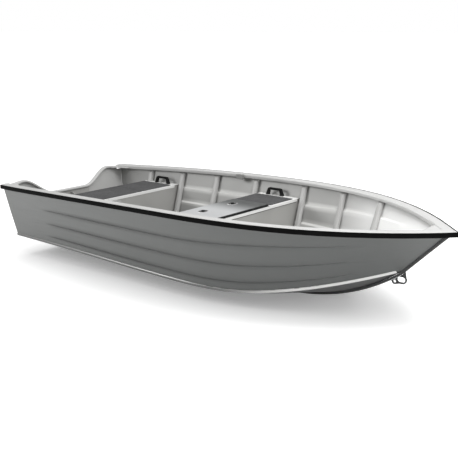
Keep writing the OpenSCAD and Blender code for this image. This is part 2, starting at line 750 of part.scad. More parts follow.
// The eye under the stem: a long slot for a hook, and a small hole behind it
eye_x = stem_foot_x;
slot_half = 11;
slot_r = 19;
eye_rim = 10;
module bow_eye() {
    root = [for (i = [0:6]) let (x = eye_x - 86 + i * 18) [x, keel_z(x) - 2 * fit]];
    slot = [eye_x - 6, keel_z(eye_x) - 36];
    small = [eye_x - 54, keel_z(eye_x - 54) - 18];
    slot_out = slot_r + eye_rim;
    hole_out = eye_hole_r + eye_rim - 1;
    outline = concat(
        root,
        [for (a = [36:-14:-90]) slot + [slot_half, 0] + slot_out * [cos(a), sin(a)]],
        [slot - [slot_half, slot_out]],
        [for (a = [-75:-15:-180]) small + hole_out * [cos(a), sin(a)]]
    );
    color(aluminium) place()
        translate([0, eye_t / 2, 0]) rotate([90, 0, 0]) linear_extrude(eye_t) difference() {
        polygon(outline);
        for (s = [-1, 1]) translate(slot + [s * slot_half, 0]) circle(slot_r);
        translate(slot) square([2 * slot_half, 2 * slot_r], center = true);
        translate(small) circle(eye_hole_r);
    }
}

// Seats: a top sheet with folded lips, and upright sheets down to the bottom
module upright(x, z_top, thick) {
    chine = [clear_y(x, clear_chine_z(x) + 12), clear_chine_z(x) + 12];
    top = [min(clear_y(x, z_top), clear_y(x + thick, z_top)), z_top];
    low = [0, clear_keel_z(x) + 2];
    shelf = [chine[0] - 30, clear_chine_z(x)];
    translate([x, 0, 0]) rotate([90, 0, 90]) linear_extrude(thick) difference() {
        polygon([top, chine, shelf, low, [-shelf[0], shelf[1]], [-chine[0], chine[1]], [-top[0], top[1]]]);
        children();
    }
}
// The plan of a seat top between two stations, inside the pressed sides
module seat_plan(x0, x1, z, inset) {
    y0 = clear_y(x0, z) - inset;
    y1 = clear_y(x1, z) - inset;
    polygon([[x0, -y0], [x1, -y1], [x1, y1], [x0, y0]]);
}
module seat_sheet(x0, x1, z) {
    translate([0, 0, z - seat_skin]) linear_extrude(seat_skin) difference() {
        seat_plan(x0, x1, z, 0);
        children();
    }
    for (x = [x0, x1 - seat_skin])
        translate([x, -clear_y(x0, z) + 40, z - seat_lip])
            cube([seat_skin, 2 * clear_y(x0, z) - 80, seat_lip - seat_skin + 1]);
}
// Room for a rib where it passes a seat
module rib_notches(x, z) {
    room = 3;
    depth = rib_d + rib_set_in + room;
    for (s = [-1, 1])
        translate([x, s * (side_y_at(x, z) - depth / 2 + 10)])
            square([rib_w + 2 * room, depth + 20], center = true);
}
module aft_seat_top() {
    color(plain_sheet) place() seat_sheet(aft_seat_x, aft_seat_front_x, aft_seat_z)
        rib_notches(rib_first_x, aft_seat_z);
}
upright_drop = seat_skin + fit;
vent_r = 11;
vent_y = 110;
vent_drop = 70;
module aft_seat_front() {
    color(plain_sheet) place()
        upright(aft_seat_front_x - 2 * seat_skin - fit, aft_seat_z - upright_drop, seat_skin)
        translate([-vent_y, aft_seat_z - vent_drop]) circle(vent_r);
}
module aft_seat_back() {
    color(plain_sheet) place()
        upright(aft_seat_x + seat_skin + fit, aft_seat_z - upright_drop, seat_skin);
}
mat_edge = 14;
handle_in = 34;
// A mat from one distance off the centreline to another
module mat(x0, x1, y0, y1) {
    translate([(x0 + x1) / 2, (y0 + y1) / 2]) rounded(x1 - x0, y1 - y0, 10);
}
mat_gap = 3;
aft_mat_out = clear_y(aft_seat_x, aft_seat_z) - rib_d - 40;
module aft_seat_mats() {
    x0 = aft_seat_x + mat_edge;
    x1 = aft_seat_front_x - mat_edge;
    color(carpet) place() translate([0, 0, aft_seat_z + fit]) linear_extrude(mat_t) {
        mat(x0, x1, -centre_mat_w / 2, centre_mat_w / 2);
        mat(x0, x1, centre_mat_w / 2 + mat_gap, aft_mat_out);
        mat(x0, x1, -aft_mat_out, -centre_mat_w / 2 - mat_gap);
    }
}
// The hatch: the lid lies over an opening in the middle seat's top and turns on its forward edge
hinge_back = 20;
hinge_x = mid_seat_front_x - hinge_back;
hinge_z = mid_seat_z + knuckle_r + 1;
leaf_t = 2;
leaf_w = 11;
lid_front_x = hinge_x - knuckle_r - leaf_t - 2 * fit;
lid_aft_x = lid_front_x - hatch_d;
lid_rest = 18;
lid_low = mid_seat_z + 1;
lid_top = mid_seat_z + hatch_edge;
lid_skin = 3;
module mid_seat_top() {
    color(plain_sheet) place() seat_sheet(mid_seat_x, mid_seat_front_x, mid_seat_z)
        translate([(lid_front_x + lid_aft_x) / 2, 0])
        rounded(hatch_d - 2 * lid_rest, hatch_w - 2 * lid_rest, 20);
}
module mid_seat_front() {
    color(plain_sheet) place()
        upright(mid_seat_front_x - 2 * seat_skin - fit, mid_seat_z - upright_drop, seat_skin);
}
module mid_seat_back() {
    color(plain_sheet) place()
        upright(mid_seat_x + seat_skin + fit, mid_seat_z - upright_drop, seat_skin);
}
mid_mat_out = clear_y(mid_seat_x, mid_seat_z) - 2 * handle_in - 12;
module mid_seat_mats() {
    x0 = mid_seat_x + mat_edge;
    x1 = mid_seat_front_x - mat_edge;
    y0 = hatch_w / 2 + hatch_gap + 6;
    color(carpet) place() translate([0, 0, mid_seat_z + fit]) linear_extrude(mat_t) {
        mat(x0, x1, y0, mid_mat_out);
        mat(x0, x1, -mid_mat_out, -y0);
    }
}
latch_x = lid_aft_x + hatch_d * 0.34;
latch_r = 15;
module hatch_lid() {
    mid = (lid_front_x + lid_aft_x) / 2;
    color(plain_sheet) place() difference() {
        translate([mid, 0, lid_low]) linear_extrude(lid_top - lid_low) rounded(hatch_d, hatch_w, 12);
        translate([mid, 0, lid_low - 1]) linear_extrude(lid_top - lid_low - lid_skin + 1)
            rounded(hatch_d - 2 * lid_skin, hatch_w - 2 * lid_skin, 9);
        for (s = [-1, 1]) translate([latch_x, s * latch_y, lid_low]) cylinder(r = latch_r, h = 40);
    }
}
// The piano hinge: knuckles in turn on the fixed leaf and on the lid's leaf, about one pin
knuckle_gap = 1;
hinge_w = hatch_w - 30;
knuckle_pitch = hinge_w / knuckles;
pin_clearance = 0.06;
module knuckle_row(first) {
    for (i = [first:2:knuckles - 1])
        translate([hinge_x, -hinge_w / 2 + i * knuckle_pitch + knuckle_gap / 2, hinge_z])
            rotate([-90, 0, 0]) cylinder(r = knuckle_r, h = knuckle_pitch - knuckle_gap);
}
module pin_bore() {
    translate([hinge_x, -hinge_w / 2 - 5, hinge_z])
        rotate([-90, 0, 0]) cylinder(r = hinge_pin_r + pin_clearance, h = hinge_w + 10);
}
module hinge_fixed_leaf() {
    color(black) place() difference() {
        union() {
            knuckle_row(0);
            translate([hinge_x + knuckle_r + 1, -hinge_w / 2, mid_seat_z + fit])
                cube([leaf_w, hinge_w, leaf_t]);
            for (i = [0:2:knuckles - 1])
                translate([hinge_x, -hinge_w / 2 + i * knuckle_pitch + knuckle_gap / 2, mid_seat_z + fit])
                    cube([knuckle_r + 2, knuckle_pitch - knuckle_gap, knuckle_r]);
        }
        pin_bore();
    }
}
module hinge_lid_leaf() {
    color(black) place() difference() {
        union() {
            knuckle_row(1);
            translate([lid_front_x + fit, -hinge_w / 2, lid_low + 1])
                cube([leaf_t, hinge_w, lid_top - lid_low]);
            for (i = [1:2:knuckles - 1])
                translate([lid_front_x + fit, -hinge_w / 2 + i * knuckle_pitch + knuckle_gap / 2, hinge_z])
                    cube([hinge_x - lid_front_x - fit, knuckle_pitch - knuckle_gap, knuckle_r]);
        }
        pin_bore();
    }
}
module hinge_pin() {
    color(black) place() translate([hinge_x, -hinge_w / 2 - 3, hinge_z])
        rotate([-90, 0, 0]) cylinder(r = hinge_pin_r, h = hinge_w + 6);
}
// A flush latch with a lift ring
module latch(side) {
    ring_r = 14;
    color(black) place() translate([latch_x, side * latch_y, lid_top]) {
        translate([0, 0, fit]) linear_extrude(2.5) rounded(46, 60, 8);
        translate([0, 0, -lid_skin - 6]) cylinder(r = latch_r - 1, h = lid_skin + 6 + fit + 1);
        translate([0, 0, 5]) rotate_extrude() translate([ring_r, 0]) circle(3);
        translate([ring_r - 2, -8, 1]) cube([8, 16, 6]);
    }
}
module latch_port() {
    latch(1);
}
module latch_starboard() {
    latch(-1);
}
// Grab handles: an arch along the boat on each seat end
handle_foot = 28;
handle_aft = 32;
handle_pad = 27;
module grab_handle(x, y, z) {
    translate([x, y + handle_w / 2, z]) rotate([90, 0, 0]) linear_extrude(handle_w) {
        top_w = handle_len - 2 * handle_foot;
        for (s = [-1, 1]) scale([s, 1, 1])
            polygon([[top_w / 2 - 6, handle_h - handle_bar], [handle_len / 2 - handle_pad, 8],
                [handle_len / 2 - handle_pad, 0], [handle_len / 2, 0], [handle_len / 2, 7],
                [top_w / 2 + 8, handle_h - 6], [top_w / 2, handle_h]]);
        translate([-top_w / 2 - 1, handle_h - handle_bar]) square([top_w + 2, handle_bar]);
    }
}
module mid_seat_handles() {
    x = (mid_seat_x + mid_seat_front_x) / 2 - handle_aft;
    y = clear_y(mid_seat_x, mid_seat_z) - handle_in;
    color(black) place() for (s = [-1, 1]) grab_handle(x, s * y, mid_seat_z + fit);
}
module aft_seat_handles() {
    x = (rib_first_x + rib_w / 2 + aft_seat_front_x) / 2;
    y = clear_y(aft_seat_x, aft_seat_z) - handle_in;
    color(black) place() for (s = [-1, 1]) grab_handle(x, s * y, aft_seat_z + fit);
}
// Rowlock blocks inside the gunwales
rowlock_len = 66;
rowlock_d = 34;
rowlock_h = 42;
module rowlock() {
    y = min(lip_point(rowlock_x - rowlock_len / 2)[1], lip_point(rowlock_x + rowlock_len / 2)[1]) - fit;
    top = sheer_z(rowlock_x) + 3;
    color(aluminium) difference() {
        translate([rowlock_x, y - rowlock_d / 2, top - rowlock_h]) linear_extrude(rowlock_h)
            rounded(rowlock_len, rowlock_d, 8);
        translate([rowlock_x, y - rowlock_d / 2, top - rowlock_h - 1])
            cylinder(r = rowlock_r, h = rowlock_h + 2);
    }
}
module rowlock_port() {
    place() rowlock();
}
module rowlock_starboard() {
    place() starboard() rowlock();
}
module drain_bung() {
    color(black) place() on_transom(0) translate([drain_y, slope_v(drain_z), 0]) {
        translate([0, 0, -6 - fit]) cylinder(r = drain_r + 8, h = 6);
        translate([0, 0, -2]) cylinder(r = drain_r - 0.5, h = transom_skin + 8);
    }
}

bottom_port();
bottom_starboard();
side_port();
side_starboard();
keel();
chine_port();
chine_starboard();
gunwale_port();
gunwale_starboard();
fender_port();
fender_starboard();
transom();
transom_cap();
motor_pad_inner();
motor_pad_outer();
transom_knee();
corner_plate_port();
corner_plate_starboard();
bow_plate();
bow_eye();
frame_1();
frame_2();
frame_3();
frame_4();
frame_5();
frame_6();
frame_7();
aft_seat_top();
aft_seat_front();
aft_seat_back();
aft_seat_mats();
mid_seat_top();
mid_seat_front();
mid_seat_back();
mid_seat_mats();
hatch_lid();
hinge_fixed_leaf();
hinge_lid_leaf();
hinge_pin();
latch_port();
latch_starboard();
mid_seat_handles();
aft_seat_handles();
rowlock_port();
rowlock_starboard();
drain_bung();
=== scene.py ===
"""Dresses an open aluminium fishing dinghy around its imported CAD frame.

The curved sheets and extrusions are remade as smooth pieces that stand for their CAD nodes, the
seat carpets are modelled as laid cloth, and welds, screws and latch plates are added. Sizes are in
metres and angles in degrees, in the CAD frame: +X to the bow, +Y to port, +Z up, with the origin
amidships on the waterline.
"""

from __future__ import annotations

import json
import logging
import math
from collections.abc import Callable, Iterable
from dataclasses import dataclass, field
from enum import Enum

import bpy
from mathutils import Matrix, Vector


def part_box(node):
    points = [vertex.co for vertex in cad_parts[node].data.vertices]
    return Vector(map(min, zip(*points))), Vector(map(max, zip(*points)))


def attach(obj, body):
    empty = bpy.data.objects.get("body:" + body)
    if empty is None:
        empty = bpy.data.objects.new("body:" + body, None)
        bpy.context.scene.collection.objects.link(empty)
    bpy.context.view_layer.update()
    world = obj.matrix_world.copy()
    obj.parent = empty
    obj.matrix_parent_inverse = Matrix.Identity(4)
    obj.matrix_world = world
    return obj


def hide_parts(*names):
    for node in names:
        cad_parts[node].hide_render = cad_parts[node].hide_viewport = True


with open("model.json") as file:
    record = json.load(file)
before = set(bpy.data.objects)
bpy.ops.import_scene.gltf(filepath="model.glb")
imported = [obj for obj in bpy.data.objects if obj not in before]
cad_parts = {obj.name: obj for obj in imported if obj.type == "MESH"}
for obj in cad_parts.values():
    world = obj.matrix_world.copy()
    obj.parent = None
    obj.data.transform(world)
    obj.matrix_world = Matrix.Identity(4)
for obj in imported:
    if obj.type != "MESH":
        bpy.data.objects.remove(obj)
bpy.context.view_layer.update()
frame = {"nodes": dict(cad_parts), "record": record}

LOG = logging.getLogger("dinghy")
# Vertex attribute that marks the laps for painted shade outside and painted light inside.
SHADE = "lap_shade"
IMAGE_SIDE = 458.0
SIDES = {"port": 1.0, "starboard": -1.0}
UP = Vector((0.0, 0.0, 1.0))
WHITE = (1.0, 1.0, 1.0, 1.0)
MERGE = 0.00002
QUAD_TURN = 35.0
QUAD_SHAPE = 75.0
Colour = tuple[float, float, float]
Pair = tuple[float, float]
Point = tuple[float, float, float]
Values = dict[str | int, object]
Piece = bpy.types.Object
Face = bpy.types.MeshPolygon


class Body(str, Enum):
    """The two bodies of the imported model."""

    HULL = "hull"
    HATCH = "hatch"


class Slot(str, Enum):
    """The record's material slots."""

    HULL_SHEET = "hull_sheet"
    BRIGHT_STRIP = "bright_strip"
    INNER_SHEET = "inner_sheet"
    HATCH_SHEET = "hatch_sheet"
    FENDER_RUBBER = "fender_rubber"
    SEAT_CARPET = "seat_carpet"
    BLACK_FITTINGS = "black_fittings"
    BLACK_PLASTIC = "black_plastic"
    CAST_FITTINGS = "cast_fittings"


class Wire:
    """A socket of a material, with the arithmetic that the finishes use."""

    def __init__(self, graph: Graph, socket: bpy.types.NodeSocket) -> None:
        """Keeps the socket and the graph that new nodes go into."""
        self.graph = graph
        self.socket = socket

    def _math(self, operation: str, first: Wire | float, second: Wire | float) -> Wire:
        """Adds one Math node and hands back its result."""
        return self.graph.node("ShaderNodeMath", {"operation": operation}, {0: first, 1: second})

    def __add__(self, other: Wire | float) -> Wire:
        """Adds a value."""
        return self._math("ADD", self, other)

    def __rsub__(self, other: float) -> Wire:
        """Takes this value away from a number."""
        return self._math("SUBTRACT", other, self)

    def __mul__(self, other: Wire | float) -> Wire:
        """Multiplies by a value."""
        return self._math("MULTIPLY", self, other)

    def __pow__(self, other: float) -> Wire:
        """Raises to a power."""
        return self._math("POWER", self, other)


@dataclass(frozen=True)
class Noise:
    """Smooth noise: waves for each metre, each axis's stretch and octaves of finer noise."""

    scale: float
    stretch: Point = (1.0, 1.0, 1.0)
    detail: float = 3.0


class Graph:
    """One material's node tree, with its shader ready to be wired."""

    def __init__(self, name: str) -> None:
        """Starts a material with a Principled shader and Object coordinates.

        Args:
            name: The material's name.
        """
        self.material = bpy.data.materials.new(name)
        self.material.use_nodes = True
        self.tree = self.material.node_tree
        self.tree.nodes.clear()
        output = self.tree.nodes.new("ShaderNodeOutputMaterial")
        self.shader = self.tree.nodes.new("ShaderNodeBsdfPrincipled")
        self.tree.links.new(self.shader.outputs["BSDF"], output.inputs["Surface"])
        self.place = self.node("ShaderNodeTexCoord", {}, {}, "Object")

    def node(self, kind: str, settings: Values, sockets: Values, result: str | int = 0) -> Wire:
        """Adds a node, sets it, and then fills its sockets.

        Args:
            kind: The node's type.
            settings: Its properties.
            sockets: Values or wires by socket name or number.
            result: Which output to hand back.

        Returns:
            The chosen output.
        """
        made = self.tree.nodes.new(kind)
        for key, value in settings.items():
            setattr(made, key, value)
        for key, value in sockets.items():
            self._fill(made.inputs[key], value)
        return Wire(self, made.outputs[result])

    def _fill(self, socket: bpy.types.NodeSocket, value: object) -> None:
        """Sets or links one socket.

        Args:
            socket: The socket.
            value: A wire, a number or a colour.
        """
        if isinstance(value, Wire):
            self.tree.links.new(value.socket, socket)
        else:
            socket.default_value = value

    def feed(self, **values: object) -> None:
        """Fills sockets of the shader, named with an underscore for each space.

        Args:
            values: Wires, numbers or colours.
        """
        for name, value in values.items():
            self._fill(self.shader.inputs[name.replace("_", " ")], value)

    def noise(self, noise: Noise) -> Wire:
        """Lays noise on the piece's own coordinates.

        Args:
            noise: The noise.

        Returns:
            A value about 0.5.
        """
        place = self.node("ShaderNodeMapping", {}, {"Vector": self.place, "Scale": noise.stretch})
        sockets = {"Vector": place, "Scale": noise.scale, "Detail": noise.detail}
        return self.node("ShaderNodeTexNoise", {}, sockets, "Fac")

    def mix(self, first: Wire, second: Colour, share: Wire) -> Wire:
        """Mixes a share of a second colour into a first."""
        sockets = {0: share, 6: first, 7: (*second, 1.0)}
        return self.node("ShaderNodeMix", {"data_type": "RGBA"}, sockets, 2)

    def ramp(self, value: Wire, stops: Pair, low: Colour, high: Colour) -> Wire:
        """Colours from a value.

        Args:
            value: What to read the ramp at.
            stops: Where the low colour ends and the high one begins.
            low: The low colour.
            high: The high colour.

        Returns:
            The colour.
        """
        colour = self.node("ShaderNodeValToRGB", {}, {"Fac": value}, "Color")
        elements = colour.socket.node.color_ramp.elements
        for element, stop, tone in zip(elements, stops, (low, high)):
            element.position = stop
            element.color = (*tone, 1.0)
        return colour

    def bump(self, height: Wire, distance: float, strength: float) -> None:
        """Bumps the shader's normal by a height, where 1 stands for a distance."""
        sockets = {"Height": height, "Distance": distance, "Strength": strength}
        self.feed(Normal=self.node("ShaderNodeBump", {}, sockets, "Normal"))


def scaled(colour: Colour, factor: float) -> Colour:
    """Makes a colour darker or lighter."""
    return (colour[0] * factor, colour[1] * factor, colour[2] * factor)


@dataclass(frozen=True)
class PaintedLightDrift:
    """A tone that changes along one axis of the boat: painted light and shade, standing in for how
    the light and reflections on the sheet change along it.
    """

    axis: str
    start: float
    end: float
    colour: Colour

    def apply(self, graph: Graph, tone: Wire) -> Wire:
        """Mixes the painted light's colour into a tone.

        Args:
            graph: The material's graph.
            tone: The tone before the painted light.

        Returns:
            The tone with the painted light.
        """
        along = graph.node("ShaderNodeSeparateXYZ", {}, {"Vector": graph.place}, self.axis)
        sockets = {"Value": along, "From Min": self.start, "From Max": self.end}
        settings = {"interpolation_type": "SMOOTHSTEP"}
        share = graph.node("ShaderNodeMapRange", settings, sockets, "Result")
        return graph.mix(tone, self.colour, share)


@dataclass(frozen=True)
class Finish:
    """A finish and the name of its material."""

    name: str
    colour: Colour

    def material(self) -> bpy.types.Material:
        """Builds the finish.

        Returns:
            The material.
        """
        graph = Graph(self.name)
        self.wire(graph)
        return graph.material

    def wire(self, graph: Graph) -> None:
        """Wires the finish into its material's graph."""
        raise NotImplementedError


@dataclass(frozen=True)
class SheetMetal(Finish):
    """Plain rolled sheet: soft cloudy tone, fine rolling grain along the boat, faint scuffs, and
    where set, painted lap light and shade and a painted gradient of light along the boat.
    """

    metallic: float
    roughness: float
    cloud: float = 0.06
    grain: float = 0.00006
    scuffs: float = 0.0
    # Painted lap light and shade: the colour factor at the laps, and below, how much of it is
    # mixed in.
    painted_lap_tone: float = 1.0
    # Painted gradient of light and shade along the boat, if any.
    painted_light_drift: PaintedLightDrift | None = None
    painted_lap_share: float = 0.8
    cloud_noise: Noise = Noise(1.7, (0.6, 1.0, 1.6), 4.0)
    cloud_share: float = 0.8
    stops: Pair = (0.3, 0.7)
    grain_noise: Noise = Noise(420.0, (0.02, 1.0, 1.0), 2.0)
    grain_strength: float = 0.6
    rough_cloud: float = 0.1
    rough_grain: float = 0.06
    scuff_noise: Noise = Noise(26.0, (0.25, 1.0, 2.5), 6.0)
    scuff_power: float = 5.0

    def wire(self, graph: Graph) -> None:
        """Wires the finish into its material's graph.

        Args:
            graph: The graph.
        """
        cloud = graph.noise(self.cloud_noise)
        grain = graph.noise(self.grain_noise)
        dark = scaled(self.colour, 1.0 - self.cloud)
        light = scaled(self.colour, 1.0 + self.cloud)
        blend = cloud * self.cloud_share + grain * (1.0 - self.cloud_share)
        tone = graph.ramp(blend, self.stops, dark, light)
        # Painted shade under the laps outside and painted light on their ledges inside, where the
        # lap attribute marks them.
        if self.painted_lap_tone != 1.0:
            shade = graph.node("ShaderNodeAttribute", {"attribute_name": SHADE}, {}, "Fac")
            tone = graph.mix(tone, scaled(self.colour, self.painted_lap_tone), shade * self.painted_lap_share)
        # Painted gradient of light and shade along the boat.
        if self.painted_light_drift:
            tone = self.painted_light_drift.apply(graph, tone)
        least = self.roughness - (self.rough_cloud + self.rough_grain) / 2.0
        rough = cloud * self.rough_cloud + grain * self.rough_grain + least
        if self.scuffs:
            rough = rough + graph.noise(self.scuff_noise) ** self.scuff_power * self.scuffs
        graph.feed(Base_Color=tone, Roughness=rough, Metallic=self.metallic)
        graph.bump(grain, self.grain, self.grain_strength)


@dataclass(frozen=True)
class PaleCoat(Finish):
    """Pale satin coating with a faint orange peel, and dust in the lows."""

    dust: Colour
    roughness: float = 0.34
    cloud_noise: Noise = Noise(2.6, (1.0, 1.0, 1.4), 4.0)
    stops: Pair = (0.25, 0.55)
    peel_noise: Noise = Noise(260.0, detail=2.0)
    peel_depth: float = 0.00008
    peel_strength: float = 0.5
    rough_peel: float = 0.1
    rough_cloud: float = 0.08
    lacquer: float = 0.12
    lacquer_roughness: float = 0.25

    def wire(self, graph: Graph) -> None:
        """Wires the finish into its material's graph.

        Args:
            graph: The graph.
        """
        cloud = graph.noise(self.cloud_noise)
        peel = graph.noise(self.peel_noise)
        graph.feed(
            Base_Color=graph.ramp(cloud, self.stops, self.dust, self.colour),
            Roughness=peel * self.rough_peel + cloud * self.rough_cloud + self.roughness,
            Coat_Weight=self.lacquer,
            Coat_Roughness=self.lacquer_roughness,
        )
        graph.bump(peel, self.peel_depth, self.peel_strength)


@dataclass(frozen=True)
class LoopCarpet(Finish):
    """Short looped marine carpet: small rows of loops, flecked greys, no shine."""

    fleck: Colour
    loops: float = 420.0
    loop_mess: float = 0.65
    loop_height: float = 0.0014
    loop_strength: float = 0.9
    fleck_noise: Noise = Noise(330.0)
    fleck_share: float = 0.7
    cloud_noise: Noise = Noise(9.0)
    stops: Pair = (0.34, 0.68)
    roughness: float = 0.9
    rough_fleck: float = 0.06
    shine: float = 0.15
    sheen: float = 0.05

    def wire(self, graph: Graph) -> None:
        """Wires the finish into its material's graph.

        Args:
            graph: The graph.
        """
        sockets = {"Vector": graph.place, "Scale": self.loops, "Randomness": self.loop_mess}
        loop = graph.node("ShaderNodeTexVoronoi", {"feature": "F1"}, sockets, "Distance")
        fleck = graph.noise(self.fleck_noise)
        cloud = graph.noise(self.cloud_noise)
        tone = fleck * self.fleck_share + cloud * (1.0 - self.fleck_share)
        graph.feed(
            Base_Color=graph.ramp(tone, self.stops, self.colour, self.fleck),
            Roughness=fleck * self.rough_fleck + self.roughness,
            Specular_IOR_Level=self.shine,
            Sheen_Weight=self.sheen,
        )
        graph.bump(1.0 - loop, self.loop_height, self.loop_strength)


@dataclass(frozen=True)
class BlackMoulding(Finish):
    """Black rubber or plastic: fine moulded grain with greyer scuffs."""

    scuff: Colour
    roughness: float
    grain: float = 900.0
    shine: float = 0.2
    grain_detail: float = 2.0
    grain_depth: float = 0.0001
    grain_strength: float = 0.6
    cloud_noise: Noise = Noise(14.0, (0.4, 1.0, 1.0), 4.0)
    stops: Pair = (0.45, 0.8)
    rough_range: float = 0.12
    rough_drop: float = 0.1

    def wire(self, graph: Graph) -> None:
        """Wires the finish into its material's graph.

        Args:
            graph: The graph.
        """
        grain = graph.noise(Noise(self.grain, detail=self.grain_detail))
        cloud = graph.noise(self.cloud_noise)
        graph.feed(
            Base_Color=graph.ramp(cloud, self.stops, self.colour, self.scuff),
            Roughness=(grain + cloud) * self.rough_range + (self.roughness - self.rough_drop),
            Specular_IOR_Level=self.shine,
        )
        graph.bump(grain, self.grain_depth, self.grain_strength)


@dataclass(frozen=True)
class WeldMetal(Finish):
    """A weld bead: bright ripples with a dull oxide between them."""

    ripple_noise: Noise = Noise(330.0, detail=1.0)
    stops: Pair = (0.35, 0.65)
    ripple_height: float = 0.0009
    ripple_strength: float = 0.8
    oxide: float = 0.78
    roughness: float = 0.3
    rough_ripple: float = 0.3
    metallic: float = 0.35

    def wire(self, graph: Graph) -> None:
        """Wires the finish into its material's graph.

        Args:
            graph: The graph.
        """
        ripple = graph.noise(self.ripple_noise)
        dull = scaled(self.colour, self.oxide)
        graph.feed(
            Base_Color=graph.ramp(ripple, self.stops, dull, self.colour),
            Roughness=ripple * self.rough_ripple + self.roughness,
            Metallic=self.metallic,
        )
        graph.bump(ripple, self.ripple_height, self.ripple_strength)


@dataclass(frozen=True)
class Palette:
    """Every finish of the boat. A finish of one of the record's slots has the slot's name."""

    # Outer hull sheet: painted shade under the laps, and painted shade darkening it towards the
    # bow.
    hull_sheet: Finish = SheetMetal(
        "hull_aluminium",
        (0.13, 0.134, 0.131),
        0.3,
        0.42,
        cloud=0.05,
        grain=0.00005,
        scuffs=0.4,
        painted_lap_tone=0.2,
        painted_light_drift=PaintedLightDrift("X", -0.9, 1.6, (0.09, 0.094, 0.092)),
    )
    # Outer bottom sheet: the hull's aluminium made much darker, as painted shade on the underside.
    bottom: Finish = SheetMetal(
        "bottom_aluminium_painted_shade", (0.03, 0.031, 0.031), 0.3, 0.45, grain=0.00005, scuffs=0.5
    )
    # Chine strip's upward faces: painted highlight brightening them towards the bow.
    bright_strip: Finish = SheetMetal(
        "bright_extrusion",
        (0.24, 0.24, 0.236),
        0.6,
        0.3,
        cloud=0.03,
        painted_light_drift=PaintedLightDrift("X", -0.4, 0.5, (0.36, 0.36, 0.354)),
    )
    # Chine strip's other faces: a darker copy as painted shade, with a painted highlight towards
    # the bow.
    strip_face: Finish = SheetMetal(
        "extrusion_painted_shade_and_highlight",
        (0.13, 0.132, 0.13),
        0.3,
        0.4,
        cloud=0.05,
        painted_light_drift=PaintedLightDrift("X", 0.35, 1.0, (0.62, 0.62, 0.61)),
    )
    inner_sheet: Finish = PaleCoat("pale_inner_coat", (0.345, 0.342, 0.33), (0.3, 0.297, 0.286))
    rail: Finish = PaleCoat("pale_rail_coat", (0.44, 0.44, 0.434), (0.39, 0.389, 0.38))
    # Inward faces of the rails: painted light brightening them towards the bow.
    lip: Finish = SheetMetal(
        "lip_coat_painted_light",
        (0.45, 0.45, 0.443),
        0.1,
        0.45,
        cloud=0.05,
        painted_light_drift=PaintedLightDrift("X", -0.1, 0.9, (0.68, 0.68, 0.67)),
    )
    rib: Finish = PaleCoat("pale_rib_coat", (0.455, 0.455, 0.446), (0.41, 0.409, 0.401))
    # Seat tops: the seat fronts' coat made much lighter, as painted light on their upward faces
    # and folded edges.
    seat: Finish = PaleCoat("seat_coat_painted_light", (0.74, 0.74, 0.73), (0.68, 0.679, 0.67))
    # Lid sheet: painted reflection, darkening it towards port.
    hatch_sheet: Finish = SheetMetal(
        "hatch_aluminium_painted_reflection",
        (0.76, 0.772, 0.78),
        0.8,
        0.34,
        cloud=0.05,
        painted_light_drift=PaintedLightDrift("Y", -0.1, 0.26, (0.11, 0.116, 0.115)),
    )
    fender_rubber: Finish = BlackMoulding(
        "fender_rubber", (0.002, 0.002, 0.002), (0.004, 0.004, 0.004), 0.7, shine=0.06
    )
    seat_carpet: Finish = LoopCarpet("seat_carpet", (0.04, 0.04, 0.041), (0.085, 0.085, 0.087))
    black_fittings: Finish = BlackMoulding(
        "black_coat", (0.006, 0.006, 0.006), (0.014, 0.014, 0.014), 0.5, grain=1400.0
    )
    black_plastic: Finish = BlackMoulding(
        "black_plastic", (0.005, 0.005, 0.005), (0.011, 0.011, 0.011), 0.55
    )
    cast_fittings: Finish = SheetMetal(
        "cast_alloy", (0.34, 0.34, 0.335), 0.6, 0.45, cloud=0.08, grain=0.0002
    )
    weld: Finish = WeldMetal("weld_bead", (0.66, 0.66, 0.65))
    # Inner side lining: painted light on the lap ledges, and painted light brightening it towards
    # the bow.
    lining: Finish = SheetMetal(
        "side_lining_painted_light",
        (0.34, 0.34, 0.332),
        0.25,
        0.38,
        painted_lap_tone=2.2,
        painted_light_drift=PaintedLightDrift("X", 0.4, 1.15, (0.95, 0.95, 0.94)),
    )
    # Inner bottom lining: faint painted light on the lap ledges.
    bilge: Finish = SheetMetal("bottom_lining", (0.27, 0.27, 0.264), 0.25, 0.42, painted_lap_tone=1.2)
    bright: Finish = SheetMetal(
        "bright_plate", (0.8, 0.8, 0.8), 0.85, 0.2, cloud=0.03, grain=0.00003
    )
    # Keel bar, bow eye and stem foot welds: the hull's aluminium made much darker, as painted
    # shade under the bow.
    stem: Finish = SheetMetal(
        "stem_alloy_painted_shade", (0.03, 0.031, 0.031), 0.2, 0.5, cloud=0.08, grain=0.00008
    )

    def of(self, slot: Slot) -> Finish:
        """Finds the finish of one of the record's slots."""
        return getattr(self, slot.value)


def clear() -> None:
    """Leaves edit mode and deselects everything."""
    if bpy.context.mode != "OBJECT":
        bpy.ops.object.mode_set(mode="OBJECT")
    bpy.ops.object.select_all(action="DESELECT")


def pick(piece: Piece) -> None:
    """Makes one piece the only selected and active one.

    Args:
        piece: The piece.
    """
    clear()
    piece.select_set(True)
    bpy.context.view_layer.objects.active = piece


def edit(piece: Piece, mode: str = "EDGE") -> None:
    """Opens a piece in edit mode with all of it selected.

    Args:
        piece: The piece.
        mode: VERT, EDGE or FACE.
    """
    pick(piece)
    bpy.ops.object.mode_set(mode="EDIT")
    bpy.ops.mesh.select_mode(type=mode)
    bpy.ops.mesh.select_all(action="SELECT")


def edit_top(piece: Piece) -> None:
    """Opens a piece in edit mode with only its highest face selected.

    Args:
        piece: The piece.
    """
    edit(piece, "FACE")
    bpy.ops.mesh.select_all(action="DESELECT")
    bpy.ops.object.mode_set(mode="OBJECT")
    max(piece.data.polygons, key=lambda face: face.center.z).select = True
    bpy.ops.object.mode_set(mode="EDIT")


